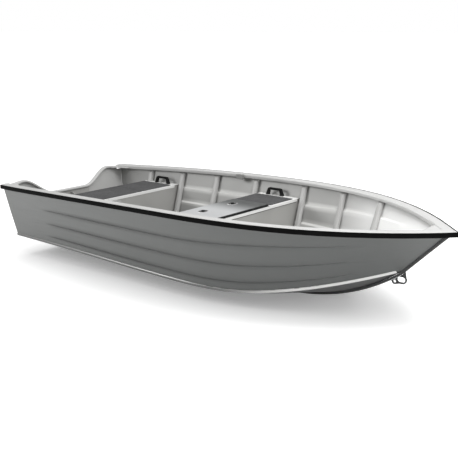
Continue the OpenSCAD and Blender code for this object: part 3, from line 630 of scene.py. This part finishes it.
def face_outwards() -> None:
    """Turns the faces of the piece in edit mode outwards and leaves edit mode."""
    bpy.ops.mesh.select_all(action="SELECT")
    bpy.ops.mesh.normals_make_consistent(inside=False)
    bpy.ops.object.mode_set(mode="OBJECT")


def modify(piece: Piece, kind: str, **settings: object) -> None:
    """Adds a modifier and applies it.

    Args:
        piece: The piece.
        kind: The modifier's type.
        settings: Its properties.
    """
    pick(piece)
    modifier = piece.modifiers.new(kind.lower(), kind)
    for key, value in settings.items():
        setattr(modifier, key, value)
    bpy.ops.object.modifier_apply(modifier=modifier.name)


@dataclass(frozen=True)
class Bevel:
    """A bevel's width and steps."""

    width: float
    steps: int = 3

    def cut(self, affect: str = "EDGES") -> None:
        """Bevels the selected edges or vertices of the piece in edit mode."""
        bpy.ops.mesh.bevel(offset=self.width, segments=self.steps, affect=affect)

    def ease(self, piece: Piece, turn: float) -> None:
        """Bevels every edge of a piece that turns more than an angle in degrees."""
        limit = {"limit_method": "ANGLE", "angle_limit": math.radians(turn)}
        modify(piece, "BEVEL", width=self.width, segments=self.steps, **limit)


def middle(node: str) -> Point:
    """Finds the middle of a CAD node's box."""
    return tuple((low + high) / 2.0 for low, high in zip(*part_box(node)))


def extrude(rise: float) -> None:
    """Extrudes what is selected upwards, or downwards below 0."""
    bpy.ops.mesh.extrude_region_move(TRANSFORM_OT_translate={"value": (0.0, 0.0, rise)})


def smooth(piece: Piece, angle: float) -> None:
    """Shades a piece smooth below an angle in degrees."""
    pick(piece)
    bpy.ops.object.shade_smooth_by_angle(angle=math.radians(angle))


def settle(piece: Piece, name: str, shading: float) -> None:
    """Puts a new piece's place into its mesh, names it and shades it smooth.

    Args:
        piece: The piece.
        name: Its name.
        shading: Faces that meet below this many degrees are shaded smooth.
    """
    pick(piece)
    bpy.ops.object.transform_apply(location=True, rotation=True, scale=True)
    piece.name = name
    piece.data.name = name
    smooth(piece, shading)


def copy_of(node: str, name: str) -> Piece:
    """A merged copy of a CAD node as a new piece, with its flat faces as quads.

    Args:
        node: The CAD node.
        name: The new piece's name.

    Returns:
        The copy, in object mode.
    """
    clear()
    piece = bpy.data.objects.new(name, frame["nodes"][node].data.copy())
    bpy.context.scene.collection.objects.link(piece)
    piece.data.materials.clear()
    edit(piece)
    bpy.ops.mesh.customdata_custom_splitnormals_clear()
    bpy.ops.mesh.remove_doubles(threshold=MERGE)
    bpy.ops.mesh.tris_convert_to_quads(
        face_threshold=math.radians(QUAD_TURN), shape_threshold=math.radians(QUAD_SHAPE)
    )
    bpy.ops.object.mode_set(mode="OBJECT")
    return piece


def plane(place: Point, size: Pair) -> Piece:
    """Makes a level rectangle and leaves it open in edit mode.

    Args:
        place: Its middle.
        size: Its extent along and across the boat.

    Returns:
        The rectangle, all selected.
    """
    clear()
    bpy.ops.mesh.primitive_plane_add(size=1.0, location=place)
    piece = bpy.context.active_object
    edit(piece, "VERT")
    bpy.ops.transform.resize(value=(*size, 1.0))
    return piece


def slab(place: Point, size: Pair, rise: float, corner: Bevel, edge: Bevel) -> Piece:
    """Makes a flat slab with round corners and an eased upper edge.

    Args:
        place: The middle of its underside.
        size: Its extent along and across the boat.
        rise: Its thickness.
        corner: The corners' bevel.
        edge: The upper edge's bevel.

    Returns:
        The slab, in object mode.
    """
    piece = plane(place, size)
    corner.cut("VERTICES")
    bpy.ops.mesh.select_all(action="SELECT")
    extrude(rise)
    edge.cut()
    face_outwards()
    return piece


def edit_sharp(piece: Piece, angle: float) -> None:
    """Opens a piece in edit mode with only its sharp edges selected.

    Args:
        piece: The piece.
        angle: Edges that turn more than this many degrees are sharp.
    """
    edit(piece)
    bpy.ops.mesh.select_all(action="DESELECT")
    bpy.ops.mesh.edges_select_sharp(sharpness=math.radians(angle))


@dataclass
class Dressing:
    """Gives pieces their finish and body, and counts them."""

    palette: Palette = Palette()
    coats: dict[str, bpy.types.Material] = field(default_factory=dict)
    made: list[str] = field(default_factory=list)

    def paint(self, mesh: bpy.types.Mesh, *looks: Finish) -> None:
        """Gives a mesh its finishes, each built the first time that it is used.

        Args:
            mesh: The mesh.
            looks: The finishes, by material index.
        """
        mesh.materials.clear()
        for look in looks:
            if look.name not in self.coats:
                self.coats[look.name] = look.material()
            mesh.materials.append(self.coats[look.name])

    def finish(
        self,
        piece: Piece,
        slot: Slot,
        body: Body = Body.HULL,
        stands_for: str | None = None,
        looks: tuple[Finish, ...] = (),
    ) -> None:
        """Dresses one new piece.

        Args:
            piece: The piece.
            slot: The record's slot.
            body: The body that it rides on.
            stands_for: The CAD node that it replaces.
            looks: Finishes other than the slot's own.
        """
        self.paint(piece.data, *(looks or (self.palette.of(slot),)))
        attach(piece, body.value)
        if stands_for:
            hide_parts(stands_for)
        self.made.append(piece.name)
        LOG.info("piece %s on %s, %d faces", piece.name, body.value, len(piece.data.polygons))

    def dress_nodes(self) -> None:
        """Gives every CAD node the finish of its slot in the record."""
        for part in frame["record"]["subparts"]:
            mesh = frame["nodes"][part["node"]].data
            self.paint(mesh, self.palette.of(Slot(part["material_slot"])))


@dataclass
class Maker:
    """A group of pieces, with what dresses them."""

    dressing: Dressing

    def build(self) -> None:
        """Builds the group's pieces."""
        raise NotImplementedError


@dataclass
class SmoothHull(Maker):
    """The pressed sheets and the long extrusions, remade without facets."""

    levels: int = 2
    sheet_crease: float = 17.0
    sheet_smooth: float = 20.0
    bar_crease: float = 55.0
    bar_smooth: float = 38.0
    rim_crease: float = 65.0
    bow_corner: float = 1.2
    strip_top: float = 0.35
    lip_turn: float = 0.6
    transom_turn: float = 0.5
    inner_height: float = 0.6
    station: float = 0.06
    plain_share: float = 0.3
    least_level: float = 0.05
    lap_least: float = 0.08
    lap_range: float = 0.32
    plates: tuple[str, ...] = ("corner_plate_port", "corner_plate_starboard", "bow_plate")

    def build(self) -> None:
        """Builds every smooth sheet and bar, and lines the transom."""
        palette = self.dressing.palette
        for side in SIDES:
            self._sheet(f"side_{side}", palette.hull_sheet, palette.lining)
        for side in SIDES:
            self._sheet(f"bottom_{side}", palette.bottom, palette.bilge)
        for side in SIDES:
            # Upward faces take the lit finish and the others its darker copy: painted shade on the
            # faces turned away from the light.
            looks = (palette.bright_strip, palette.strip_face)
            strip = self._bar(f"chine_{side}", Slot.BRIGHT_STRIP, *looks)
            self._split(strip, lambda face: face.normal.z <= self.strip_top)
        for side in SIDES:
            self._bar(f"fender_{side}", Slot.FENDER_RUBBER, palette.fender_rubber)
        for node in ("gunwale_port", "gunwale_starboard", "transom_cap"):
            rail = self._bar(node, Slot.INNER_SHEET, palette.rail, palette.lip)
            # Inward faces take the lip finish, with its painted light towards the bow.
            self._split(rail, self._is_lip)
        # The keel bar takes the stem finish, darkened as painted shade.
        self._bar("keel", Slot.HULL_SHEET, palette.stem)
        for node in self.plates:
            self.dressing.paint(frame["nodes"][node].data, palette.rail)
        transom = copy_of("transom", "lined_transom")
        looks = (palette.hull_sheet, palette.rib)
        self.dressing.finish(transom, Slot.HULL_SHEET, Body.HULL, "transom", looks)
        self._split(transom, lambda face: face.normal.x > self.transom_turn)

    def _sheet(self, node: str, outside: Finish, inside: Finish) -> None:
        """Remakes one pressed sheet and marks its laps.

        Args:
            node: The CAD node.
            outside: The outer finish.
            inside: The inner finish.
        """
        piece = self._remake(node, self.sheet_crease, self.sheet_smooth)
        self.dressing.finish(piece, Slot.HULL_SHEET, Body.HULL, node, (outside, inside))
        self._split(piece, self._is_inner)
        self._shade_laps(piece)

    def _bar(self, node: str, slot: Slot, *looks: Finish) -> Piece:
        """Remakes one bar or extrusion.

        Args:
            node: The CAD node.
            slot: Its slot.
            looks: Its finishes.

        Returns:
            The new piece.
        """
        piece = self._remake(node, self.bar_crease, self.bar_smooth)
        self.dressing.finish(piece, slot, Body.HULL, node, looks)
        return piece

    def _remake(self, node: str, crease: float, shading: float) -> Piece:
        """Remakes one node as a subdivided piece with its sharp edges kept.

        Args:
            node: The CAD node.
            crease: Edges that turn more than this many degrees stay sharp.
            shading: Faces that meet below this many degrees are shaded smooth.

        Returns:
            The new piece.
        """
        piece = copy_of(node, f"smooth_{node}")
        edit_sharp(piece, crease)
        bpy.ops.transform.edge_crease(value=1.0)
        self._pin_corners(piece)
        modify(piece, "SUBSURF", levels=self.levels, render_levels=self.levels)
        smooth(piece, shading)
        return piece

    def _pin_corners(self, piece: Piece) -> None:
        """Keeps the corners along a piece's rim where they are at the bow.

        Args:
            piece: The piece.
        """
        edit_sharp(piece, self.rim_crease)
        bpy.ops.mesh.select_mode(type="VERT")
        bpy.ops.object.mode_set(mode="OBJECT")
        for vertex in piece.data.vertices:
            vertex.select = vertex.select and vertex.co.x > self.bow_corner
        bpy.ops.object.mode_set(mode="EDIT")
        bpy.ops.transform.vert_crease(value=1.0)
        bpy.ops.object.mode_set(mode="OBJECT")

    @staticmethod
    def _split(piece: Piece, second: Callable[[Face], bool]) -> None:
        """Gives the faces that pass a test the piece's second finish."""
        for face in piece.data.polygons:
            face.material_index = int(second(face))

    def _is_inner(self, face: Face) -> bool:
        """Says whether a sheet's face looks into the boat."""
        inwards = Vector((0.0, -face.center.y, self.inner_height - face.center.z))
        return face.normal.dot(inwards) > 0.0

    def _is_lip(self, face: Face) -> bool:
        """Says whether a rail's face turns towards the centre line."""
        inwards = -face.normal.y if face.center.y > 0.0 else face.normal.y
        return inwards > self.lip_turn

    def _shade_laps(self, piece: Piece) -> None:
        """Marks the laps in a vertex attribute, for painted shade under them outside and painted
        light on their ledges inside.

        Args:
            piece: A side or bottom sheet.
        """
        vertices = piece.data.vertices
        marks = piece.data.attributes.new(SHADE, "FLOAT", "POINT")
        tilts: list[float] = []
        stations: dict[int, list[float]] = {}
        for vertex in vertices:
            level = max(self.least_level, math.hypot(vertex.normal.y, vertex.normal.x))
            tilts.append(abs(vertex.normal.z) / level)
            stations.setdefault(round(vertex.co.x / self.station), []).append(tilts[-1])
        plain = {
            key: sorted(values)[int(len(values) * self.plain_share)]
            for key, values in stations.items()
        }
        for vertex, tilt in zip(vertices, tilts):
            over = tilt - plain[round(vertex.co.x / self.station)] - self.lap_least
            marks.data[vertex.index].value = min(1.0, max(0.0, over / self.lap_range))


@dataclass
class SmoothFrames(Maker):
    """The ribs and floors with the soft edges of folded channel, and the seats that they carry."""

    count: int = 7
    edge: Bevel = Bevel(0.004)
    edge_turn: float = 28.0
    shading: float = 50.0
    seat_tops: tuple[str, ...] = ("aft_seat_top", "mid_seat_top")

    def build(self) -> None:
        """Builds the frames and coats the seat tops."""
        palette = self.dressing.palette
        for number in range(1, self.count + 1):
            node = f"frame_{number}"
            piece = copy_of(node, f"soft_{node}")
            self.edge.ease(piece, self.edge_turn)
            smooth(piece, self.shading)
            self.dressing.finish(piece, Slot.INNER_SHEET, Body.HULL, node, (palette.rib,))
        # The seat tops take the lighter seat coat, painted light on their upward faces.
        for node in self.seat_tops:
            self.dressing.paint(frame["nodes"][node].data, palette.seat)


@dataclass(frozen=True)
class Easing:
    """How one fitting's edges are eased."""

    node: str
    slot: Slot
    edge: Bevel
    body: Body = Body.HULL


@dataclass
class EasedFittings(Maker):
    """Handles, lid and plates with their edges eased, as moulded and folded parts have them."""

    flat_turn: float = 1.0
    edge_turn: float = 32.0
    shading: float = 40.0
    flat_weight: int = 100
    bow_eye: str = "bow_eye"
    easings: tuple[Easing, ...] = (
        Easing("mid_seat_handles", Slot.BLACK_PLASTIC, Bevel(0.006, 4)),
        Easing("aft_seat_handles", Slot.BLACK_PLASTIC, Bevel(0.006, 4)),
        Easing("hatch_lid", Slot.HATCH_SHEET, Bevel(0.0012), Body.HATCH),
        Easing("rowlock_port", Slot.CAST_FITTINGS, Bevel(0.003)),
        Easing("rowlock_starboard", Slot.CAST_FITTINGS, Bevel(0.003)),
        Easing("bow_eye", Slot.HULL_SHEET, Bevel(0.003)),
    )

    def build(self) -> None:
        """Builds each eased fitting."""
        for easing in self.easings:
            piece = copy_of(easing.node, f"eased_{easing.node}")
            edit(piece, "FACE")
            bpy.ops.mesh.dissolve_limited(angle_limit=math.radians(self.flat_turn))
            bpy.ops.object.mode_set(mode="OBJECT")
            easing.edge.ease(piece, self.edge_turn)
            smooth(piece, self.shading)
            modify(piece, "WEIGHTED_NORMAL", keep_sharp=True, weight=self.flat_weight)
            # The bow eye takes the stem finish, darkened as painted shade.
            looks = (self.dressing.palette.stem,) if easing.node == self.bow_eye else ()
            self.dressing.finish(piece, easing.slot, easing.body, easing.node, looks)


@dataclass
class CarpetMats(Maker):
    """The carpet pieces on the seats, each cut with round corners and a rolled edge."""

    corner: Bevel = Bevel(0.012, 6)
    roll: Bevel = Bevel(0.0025)
    roll_sink: float = 0.001
    border: float = 0.008
    crown: float = 0.000875
    shading: float = 35.0
    centre_half: float = 0.256
    hatch_side: float = 0.356
    gap: float = 0.003

    def build(self) -> None:
        """Lays the three mats of the aft seat and the two of the middle seat."""
        inner = self.centre_half + self.gap
        low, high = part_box("aft_seat_mats")
        self._lay("aft_mat_centre", "aft_seat", (-self.centre_half, self.centre_half))
        self._lay("aft_mat_port", "aft_seat", (inner, high[1]))
        self._lay("aft_mat_starboard", "aft_seat", (low[1], -inner))
        low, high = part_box("mid_seat_mats")
        self._lay("mid_mat_port", "mid_seat", (self.hatch_side, high[1]))
        self._lay("mid_mat_starboard", "mid_seat", (low[1], -self.hatch_side))

    def _lay(self, name: str, seat: str, span: Pair) -> None:
        """Cuts and lays one mat.

        Args:
            name: The mat's name.
            seat: The seat that it lies on.
            span: Its extent across the boat.
        """
        node = f"{seat}_mats"
        low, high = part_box(node)
        size = (high[0] - low[0], span[1] - span[0])
        place = (middle(node)[0], (span[0] + span[1]) / 2.0, low[2])
        rise = high[2] - low[2] - self.roll_sink
        mat = slab(place, size, rise, self.corner, self.roll)
        edit_top(mat)
        bpy.ops.mesh.inset(thickness=self.border)
        bpy.ops.transform.translate(value=(0.0, 0.0, self.crown))
        face_outwards()
        settle(mat, name, self.shading)
        self.dressing.finish(mat, Slot.SEAT_CARPET, Body.HULL, node)


@dataclass
class WeldBeads(Maker):
    """The weld beads that close the transom's corners and the stem."""

    radius: float = 0.0045
    ring_steps: int = 3
    shading: float = 60.0
    proud: float = 0.003
    low_limit: float = 0.12
    high_limit: float = 0.4
    forward_share: float = 0.3
    stem_span: Pair = (1.49, 2.0)
    stem_back: float = 0.004
    foot_span: Pair = (1.46, 1.52)
    foot_drop: float = 0.003
    edge_step: float = 0.012

    def build(self) -> None:
        """Runs beads along the transom's corners, up the stem inside and round its foot."""
        palette = self.dressing.palette
        spots = [vertex.co for vertex in frame["nodes"]["transom"].data.vertices]
        keel = max(spots, key=lambda spot: spot.x - abs(spot.y))
        for side, sign in SIDES.items():
            corners = (
                self._outermost((spot for spot in spots if spot.z > self.high_limit), sign),
                self._outermost((spot for spot in spots if spot.z < self.low_limit), sign),
            )
            path = [self._inset(corner, sign) for corner in corners]
            self._bead(f"transom_weld_{side}", palette.weld, [*path, self._inset(keel, 0.0)])
            foot = [
                Vector((spot.x, spot.y * sign, spot.z - self.foot_drop))
                for spot in self._edge(*self.foot_span)
            ]
            # The foot welds take the stem finish, darkened as painted shade.
            self._bead(f"foot_weld_{side}", palette.stem, foot)
        inside = [
            Vector((spot.x - self.stem_back, 0.0, spot.z + self.proud))
            for spot in self._edge(*self.stem_span)
        ]
        self._bead("stem_weld", palette.weld, inside)

    def _outermost(self, spots: Iterable[Vector], sign: float) -> Vector:
        """Finds the spot that is furthest out on one side, and forward."""
        return max(spots, key=lambda spot: spot.x * self.forward_share + spot.y * sign)

    def _edge(self, start: float, end: float) -> list[Vector]:
        """Finds the port side's lower edge between two stations.

        Args:
            start: The aft station.
            end: The forward station.

        Returns:
            The edge's outer points, from aft forwards.
        """
        vertices = frame["nodes"]["side_port"].data.vertices
        spots = [vertex.co.copy() for vertex in vertices if start < vertex.co.x < end]
        lowest: list[Vector] = []
        for spot in sorted(spots, key=lambda spot: (spot.z, spot.x)):
            if all(abs(spot.x - kept.x) > self.edge_step for kept in lowest):
                lowest.append(spot)
        return sorted(lowest, key=lambda spot: spot.x)

    def _inset(self, corner: Vector, sign: float) -> Vector:
        """Moves a corner just inside the boat, with a sign of 0 on the centre line."""
        lift = 1.0 - abs(sign) / 2.0
        return corner + Vector((self.proud, -sign * self.proud, self.proud * lift))

    def _bead(self, name: str, look: Finish, path: list[Vector]) -> None:
        """Draws one bead as a tube along a path and makes it a mesh.

        Args:
            name: Its name.
            look: Its finish.
            path: The corners that it follows.
        """
        curve = bpy.data.curves.new(name, "CURVE")
        curve.dimensions = "3D"
        curve.bevel_depth = self.radius
        curve.bevel_resolution = self.ring_steps
        curve.use_fill_caps = True
        spline = curve.splines.new("POLY")
        spline.points.add(len(path) - 1)
        for point, place in zip(spline.points, path):
            point.co = (*place, 1.0)
        bead = bpy.data.objects.new(name, curve)
        bpy.context.scene.collection.objects.link(bead)
        pick(bead)
        bpy.ops.object.convert(target="MESH")
        bead = bpy.context.active_object
        smooth(bead, self.shading)
        self.dressing.finish(bead, Slot.HULL_SHEET, looks=(look,))


@dataclass
class LipShadowStrip(Maker):
    """A dark strip under the folded lip of the middle seat, on its forward face: a painted shadow
    line that stands in for the lip's shadow.
    """

    drop: float = 0.0225
    height: float = 0.0035
    depth: float = 0.003
    width: float = 0.0048
    edge: Bevel = Bevel(0.0009, 2)
    margin: float = 0.046
    shading: float = 50.0

    def build(self) -> None:
        """Runs the dark strip across the seat."""
        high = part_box("mid_seat_top")[1]
        place = (high[0] - self.depth, 0.0, high[2] - self.drop)
        bead = plane(place, (self.width, 2.0 * (high[1] - self.margin)))
        extrude(-self.height)
        bpy.ops.mesh.select_all(action="SELECT")
        bpy.ops.mesh.normals_make_consistent(inside=False)
        self.edge.cut()
        bpy.ops.object.mode_set(mode="OBJECT")
        settle(bead, "mid_seat_lip_shadow_strip", self.shading)
        # Black rubber finish: the strip is a painted shadow line under the lip.
        self.dressing.finish(bead, Slot.FENDER_RUBBER)


@dataclass
class LatchPlates(Maker):
    """The bright pressed plates under the two latches."""

    size: Pair = (0.064, 0.092)
    thick: float = 0.0009
    corner: Bevel = Bevel(0.02688, 10)
    edge: Bevel = Bevel(0.00063, 2)
    clearance: float = 0.0001
    shading: float = 35.0

    def build(self) -> None:
        """Presses one plate for each latch."""
        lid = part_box("hatch_lid")[1][2]
        for side in SIDES:
            place = (*middle(f"latch_{side}")[:2], lid + self.clearance)
            plate = slab(place, self.size, self.thick, self.corner, self.edge)
            settle(plate, f"latch_plate_{side}", self.shading)
            looks = (self.dressing.palette.bright,)
            self.dressing.finish(plate, Slot.CAST_FITTINGS, Body.HATCH, looks=looks)


@dataclass
class ScrewHeads:
    """Round screw heads with a recess, modelled once and set in rows."""

    radius: float = 0.0042
    height: float = 0.0022
    sides: int = 20
    dome: float = 0.6
    rim: float = 0.28
    recess: float = 0.45
    shading: float = 40.0

    def template(self) -> Piece:
        """Models one head with its axis up and its foot at the origin.

        Returns:
            The head.
        """
        clear()
        bpy.ops.mesh.primitive_cylinder_add(
            vertices=self.sides,
            radius=self.radius,
            depth=self.height,
            location=(0.0, 0.0, self.height / 2.0),
        )
        head = bpy.context.active_object
        edit_top(head)
        Bevel(self.height * self.dome).cut()
        bpy.ops.mesh.inset(thickness=self.radius * self.rim)
        extrude(-self.height * self.recess)
        bpy.ops.object.mode_set(mode="OBJECT")
        settle(head, "screw_head", self.shading)
        return head

    def row(self, name: str, places: list[tuple[Vector, Vector]]) -> Piece:
        """Sets copies of the head in their places as one piece.

        Args:
            name: The piece's name.
            places: Each head's foot and the way that it looks.

        Returns:
            The piece.
        """
        head = self.template()
        copies = []
        for place, way in places:
            copy = bpy.data.objects.new(name, head.data.copy())
            bpy.context.scene.collection.objects.link(copy)
            turn = way.to_track_quat("Z", "X").to_matrix().to_4x4()
            copy.data.transform(Matrix.Translation(place) @ turn)
            copies.append(copy)
        bpy.data.objects.remove(head)
        pick(copies[0])
        for copy in copies:
            copy.select_set(True)
        bpy.ops.object.join()
        copies[0].data.name = name
        return copies[0]


@dataclass
class Fixings(Maker):
    """The screws and bolts that show on the fittings."""

    screw: ScrewHeads = field(default_factory=ScrewHeads)
    bolt: ScrewHeads = field(default_factory=lambda: ScrewHeads(0.009, 0.006))
    hinge_screws: int = 9
    leaf_rise: float = 0.0023
    leaf_inset: float = 0.0055
    latch_rise: float = 0.0028
    latch_reach: float = 0.025
    pad_reach: Pair = (0.16, 0.07)
    pad_rise: float = 0.0038
    rake: float = 12.0

    def build(self) -> None:
        """Sets out every row of heads."""
        self._hinge()
        for side in SIDES:
            self._latch(side)
        self._pad()

    def _hinge(self) -> None:
        """Screws the hinge's fixed leaf to the seat."""
        low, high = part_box("hinge_fixed_leaf")
        x = high[0] - self.leaf_inset
        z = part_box("mid_seat_top")[1][2] + self.leaf_rise
        step = (high[1] - low[1]) / self.hinge_screws
        places = [
            (Vector((x, low[1] + step * (number + 0.5), z)), UP)
            for number in range(self.hinge_screws)
        ]
        row = self.screw.row("hinge_screws", places)
        self.dressing.finish(row, Slot.BLACK_FITTINGS)

    def _latch(self, side: str) -> None:
        """Screws one latch to the lid.

        Args:
            side: The latch's side.
        """
        x, y, _ = middle(f"latch_{side}")
        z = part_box("hatch_lid")[1][2] + self.latch_rise
        places = [(Vector((x, y + self.latch_reach * sign, z)), UP) for sign in (-1.0, 1.0)]
        row = self.screw.row(f"latch_screws_{side}", places)
        self.dressing.finish(row, Slot.CAST_FITTINGS, Body.HATCH)

    def _pad(self) -> None:
        """Bolts the outer motor pad to the raked transom."""
        rake = math.radians(self.rake)
        way = Vector((-math.cos(rake), 0.0, -math.sin(rake)))
        rise = Vector((-math.sin(rake), 0.0, math.cos(rake))) * self.pad_reach[1]
        reach = Vector((0.0, self.pad_reach[0], 0.0))
        x, _, z = middle("motor_pad_outer")
        places = [
            (Vector((x, 0.0, z)) + reach * across + rise * along + way * self.pad_rise, way)
            for across in (-1.0, 1.0)
            for along in (-1.0, 1.0)
        ]
        self.dressing.finish(self.bolt.row("pad_bolts", places), Slot.CAST_FITTINGS)


@dataclass(frozen=True)
class Softbox:
    """One rectangular soft light."""

    name: str
    place: Point
    target: Point
    size: Pair
    power: float


@dataclass
class Studio:
    """The floor, the lights and the camera at the photograph's view."""

    floor_z: float = -0.0955
    floor_side: float = 600.0
    floor_glow: float = 0.25
    floor_noise: Noise = Noise(3.0)
    floor_stops: Pair = (0.2, 0.8)
    floor_tones: Pair = (0.95, 0.97)
    floor_roughness: float = 0.9
    surround: float = 0.55
    sky_place: Point = (0.5, 0.35, 3.0)
    sky_strength: float = 1.5
    sky_angle: float = 80.0
    softboxes: tuple[Softbox, ...] = (
        Softbox("bow_top", (1.5, 0.4, 3.0), (1.0, 0.1, 0.3), (2.4, 2.0), 70.0),
        Softbox("stern_side", (-3.2, -3.4, 2.2), (-1.4, -0.6, 0.3), (1.6, 1.6), 45.0),
        Softbox("bow_side", (4.6, -2.6, 2.4), (1.2, -0.4, 0.2), (1.6, 1.6), 32.0),
    )
    eye: Point = (3.8783, -4.7674, 1.7879)
    yaw: float = -38.525
    pitch: float = 13.669
    roll: float = 0.14
    focal_pixels: float = 819.13
    centre: Pair = (234.92, 227.62)
    sensor: float = 36.0

    def build(self) -> None:
        """Builds the stage, the lights and the camera."""
        self._floor()
        self._surround()
        self._sky_panel()
        for softbox in self.softboxes:
            self._softbox(softbox)
        self._camera()

    def _floor(self) -> None:
        """Lays a wide pale floor with a faint glow under the keel."""
        clear()
        place = (0.0, 0.0, self.floor_z)
        bpy.ops.mesh.primitive_plane_add(size=self.floor_side, location=place)
        floor = bpy.context.active_object
        floor.name = "studio_floor"
        graph = Graph("studio_floor")
        dark, light = ((tone, tone, tone) for tone in self.floor_tones)
        graph.feed(
            Base_Color=graph.ramp(graph.noise(self.floor_noise), self.floor_stops, dark, light),
            Roughness=self.floor_roughness,
            Emission_Color=WHITE,
            Emission_Strength=self.floor_glow,
        )
        floor.data.materials.append(graph.material)

    def _surround(self) -> None:
        """Sets a pale surround that the camera sees as white."""
        world = bpy.data.worlds.new("studio")
        world.use_nodes = True
        tree = world.node_tree
        backdrop = tree.nodes["Background"]
        backdrop.inputs["Color"].default_value = WHITE
        rays = tree.nodes.new("ShaderNodeLightPath")
        level = tree.nodes.new("ShaderNodeMapRange")
        level.inputs["To Min"].default_value = self.surround
        tree.links.new(rays.outputs["Is Camera Ray"], level.inputs["Value"])
        tree.links.new(level.outputs["Result"], backdrop.inputs["Strength"])
        bpy.context.scene.world = world
        bpy.context.scene.view_settings.view_transform = "Standard"

    @staticmethod
    def _light(kind: str, name: str, place: Point, aim: Vector) -> bpy.types.Light:
        """Hangs one light.

        Args:
            kind: Blender's name for the kind of light.
            name: The light's name.
            place: Where it hangs.
            aim: The way that it looks.

        Returns:
            The light's settings.
        """
        clear()
        bpy.ops.object.light_add(type=kind, location=place)
        light = bpy.context.active_object
        light.name = name
        light.rotation_euler = aim.to_track_quat("-Z", "Y").to_euler()
        return light.data

    def _sky_panel(self) -> None:
        """Lights the whole floor evenly from above, very softly."""
        panel = self._light("SUN", "sky_panel", self.sky_place, -Vector(self.sky_place))
        panel.energy = self.sky_strength
        panel.angle = math.radians(self.sky_angle)

    def _softbox(self, box: Softbox) -> None:
        """Hangs one soft light.

        Args:
            box: The light.
        """
        aim = Vector(box.target) - Vector(box.place)
        light = self._light("AREA", box.name, box.place, aim)
        light.shape = "RECTANGLE"
        light.size, light.size_y = box.size
        light.energy = box.power

    def _camera(self) -> None:
        """Sets the camera from the view's yaw, pitch, roll and focal length."""
        yaw, pitch, roll = (math.radians(turn) for turn in (self.yaw, self.pitch, self.roll))
        ahead = Vector((math.sin(yaw), math.cos(yaw), 0.0)) * math.cos(pitch)
        ahead.z = -math.sin(pitch)
        level = Vector((math.cos(yaw), -math.sin(yaw), 0.0))
        upright = level.cross(ahead)
        right = level * math.cos(roll) + upright * math.sin(roll)
        up = right.cross(ahead)
        turn = Matrix((right, up, -ahead)).transposed().to_4x4()
        clear()
        bpy.ops.object.camera_add()
        camera = bpy.context.active_object
        camera.matrix_world = Matrix.Translation(Vector(self.eye)) @ turn
        camera.data.sensor_width = self.sensor
        camera.data.lens = self.focal_pixels / IMAGE_SIDE * self.sensor
        camera.data.shift_x = (IMAGE_SIDE / 2.0 - self.centre[0]) / IMAGE_SIDE
        camera.data.shift_y = (self.centre[1] - IMAGE_SIDE / 2.0) / IMAGE_SIDE
        bpy.context.scene.camera = camera


def main() -> None:
    """Builds and dresses the boat, then the studio."""
    logging.basicConfig(level=logging.INFO, format="%(name)s: %(message)s")
    dressing = Dressing()
    dressing.dress_nodes()
    large = (SmoothHull, SmoothFrames, EasedFittings, CarpetMats)
    small = (WeldBeads, LipShadowStrip, LatchPlates, Fixings)
    for maker in large + small:
        maker(dressing).build()
    Studio().build()
    LOG.info("pieces made: %d", len(dressing.made))


if __name__ == "__main__":
    main()
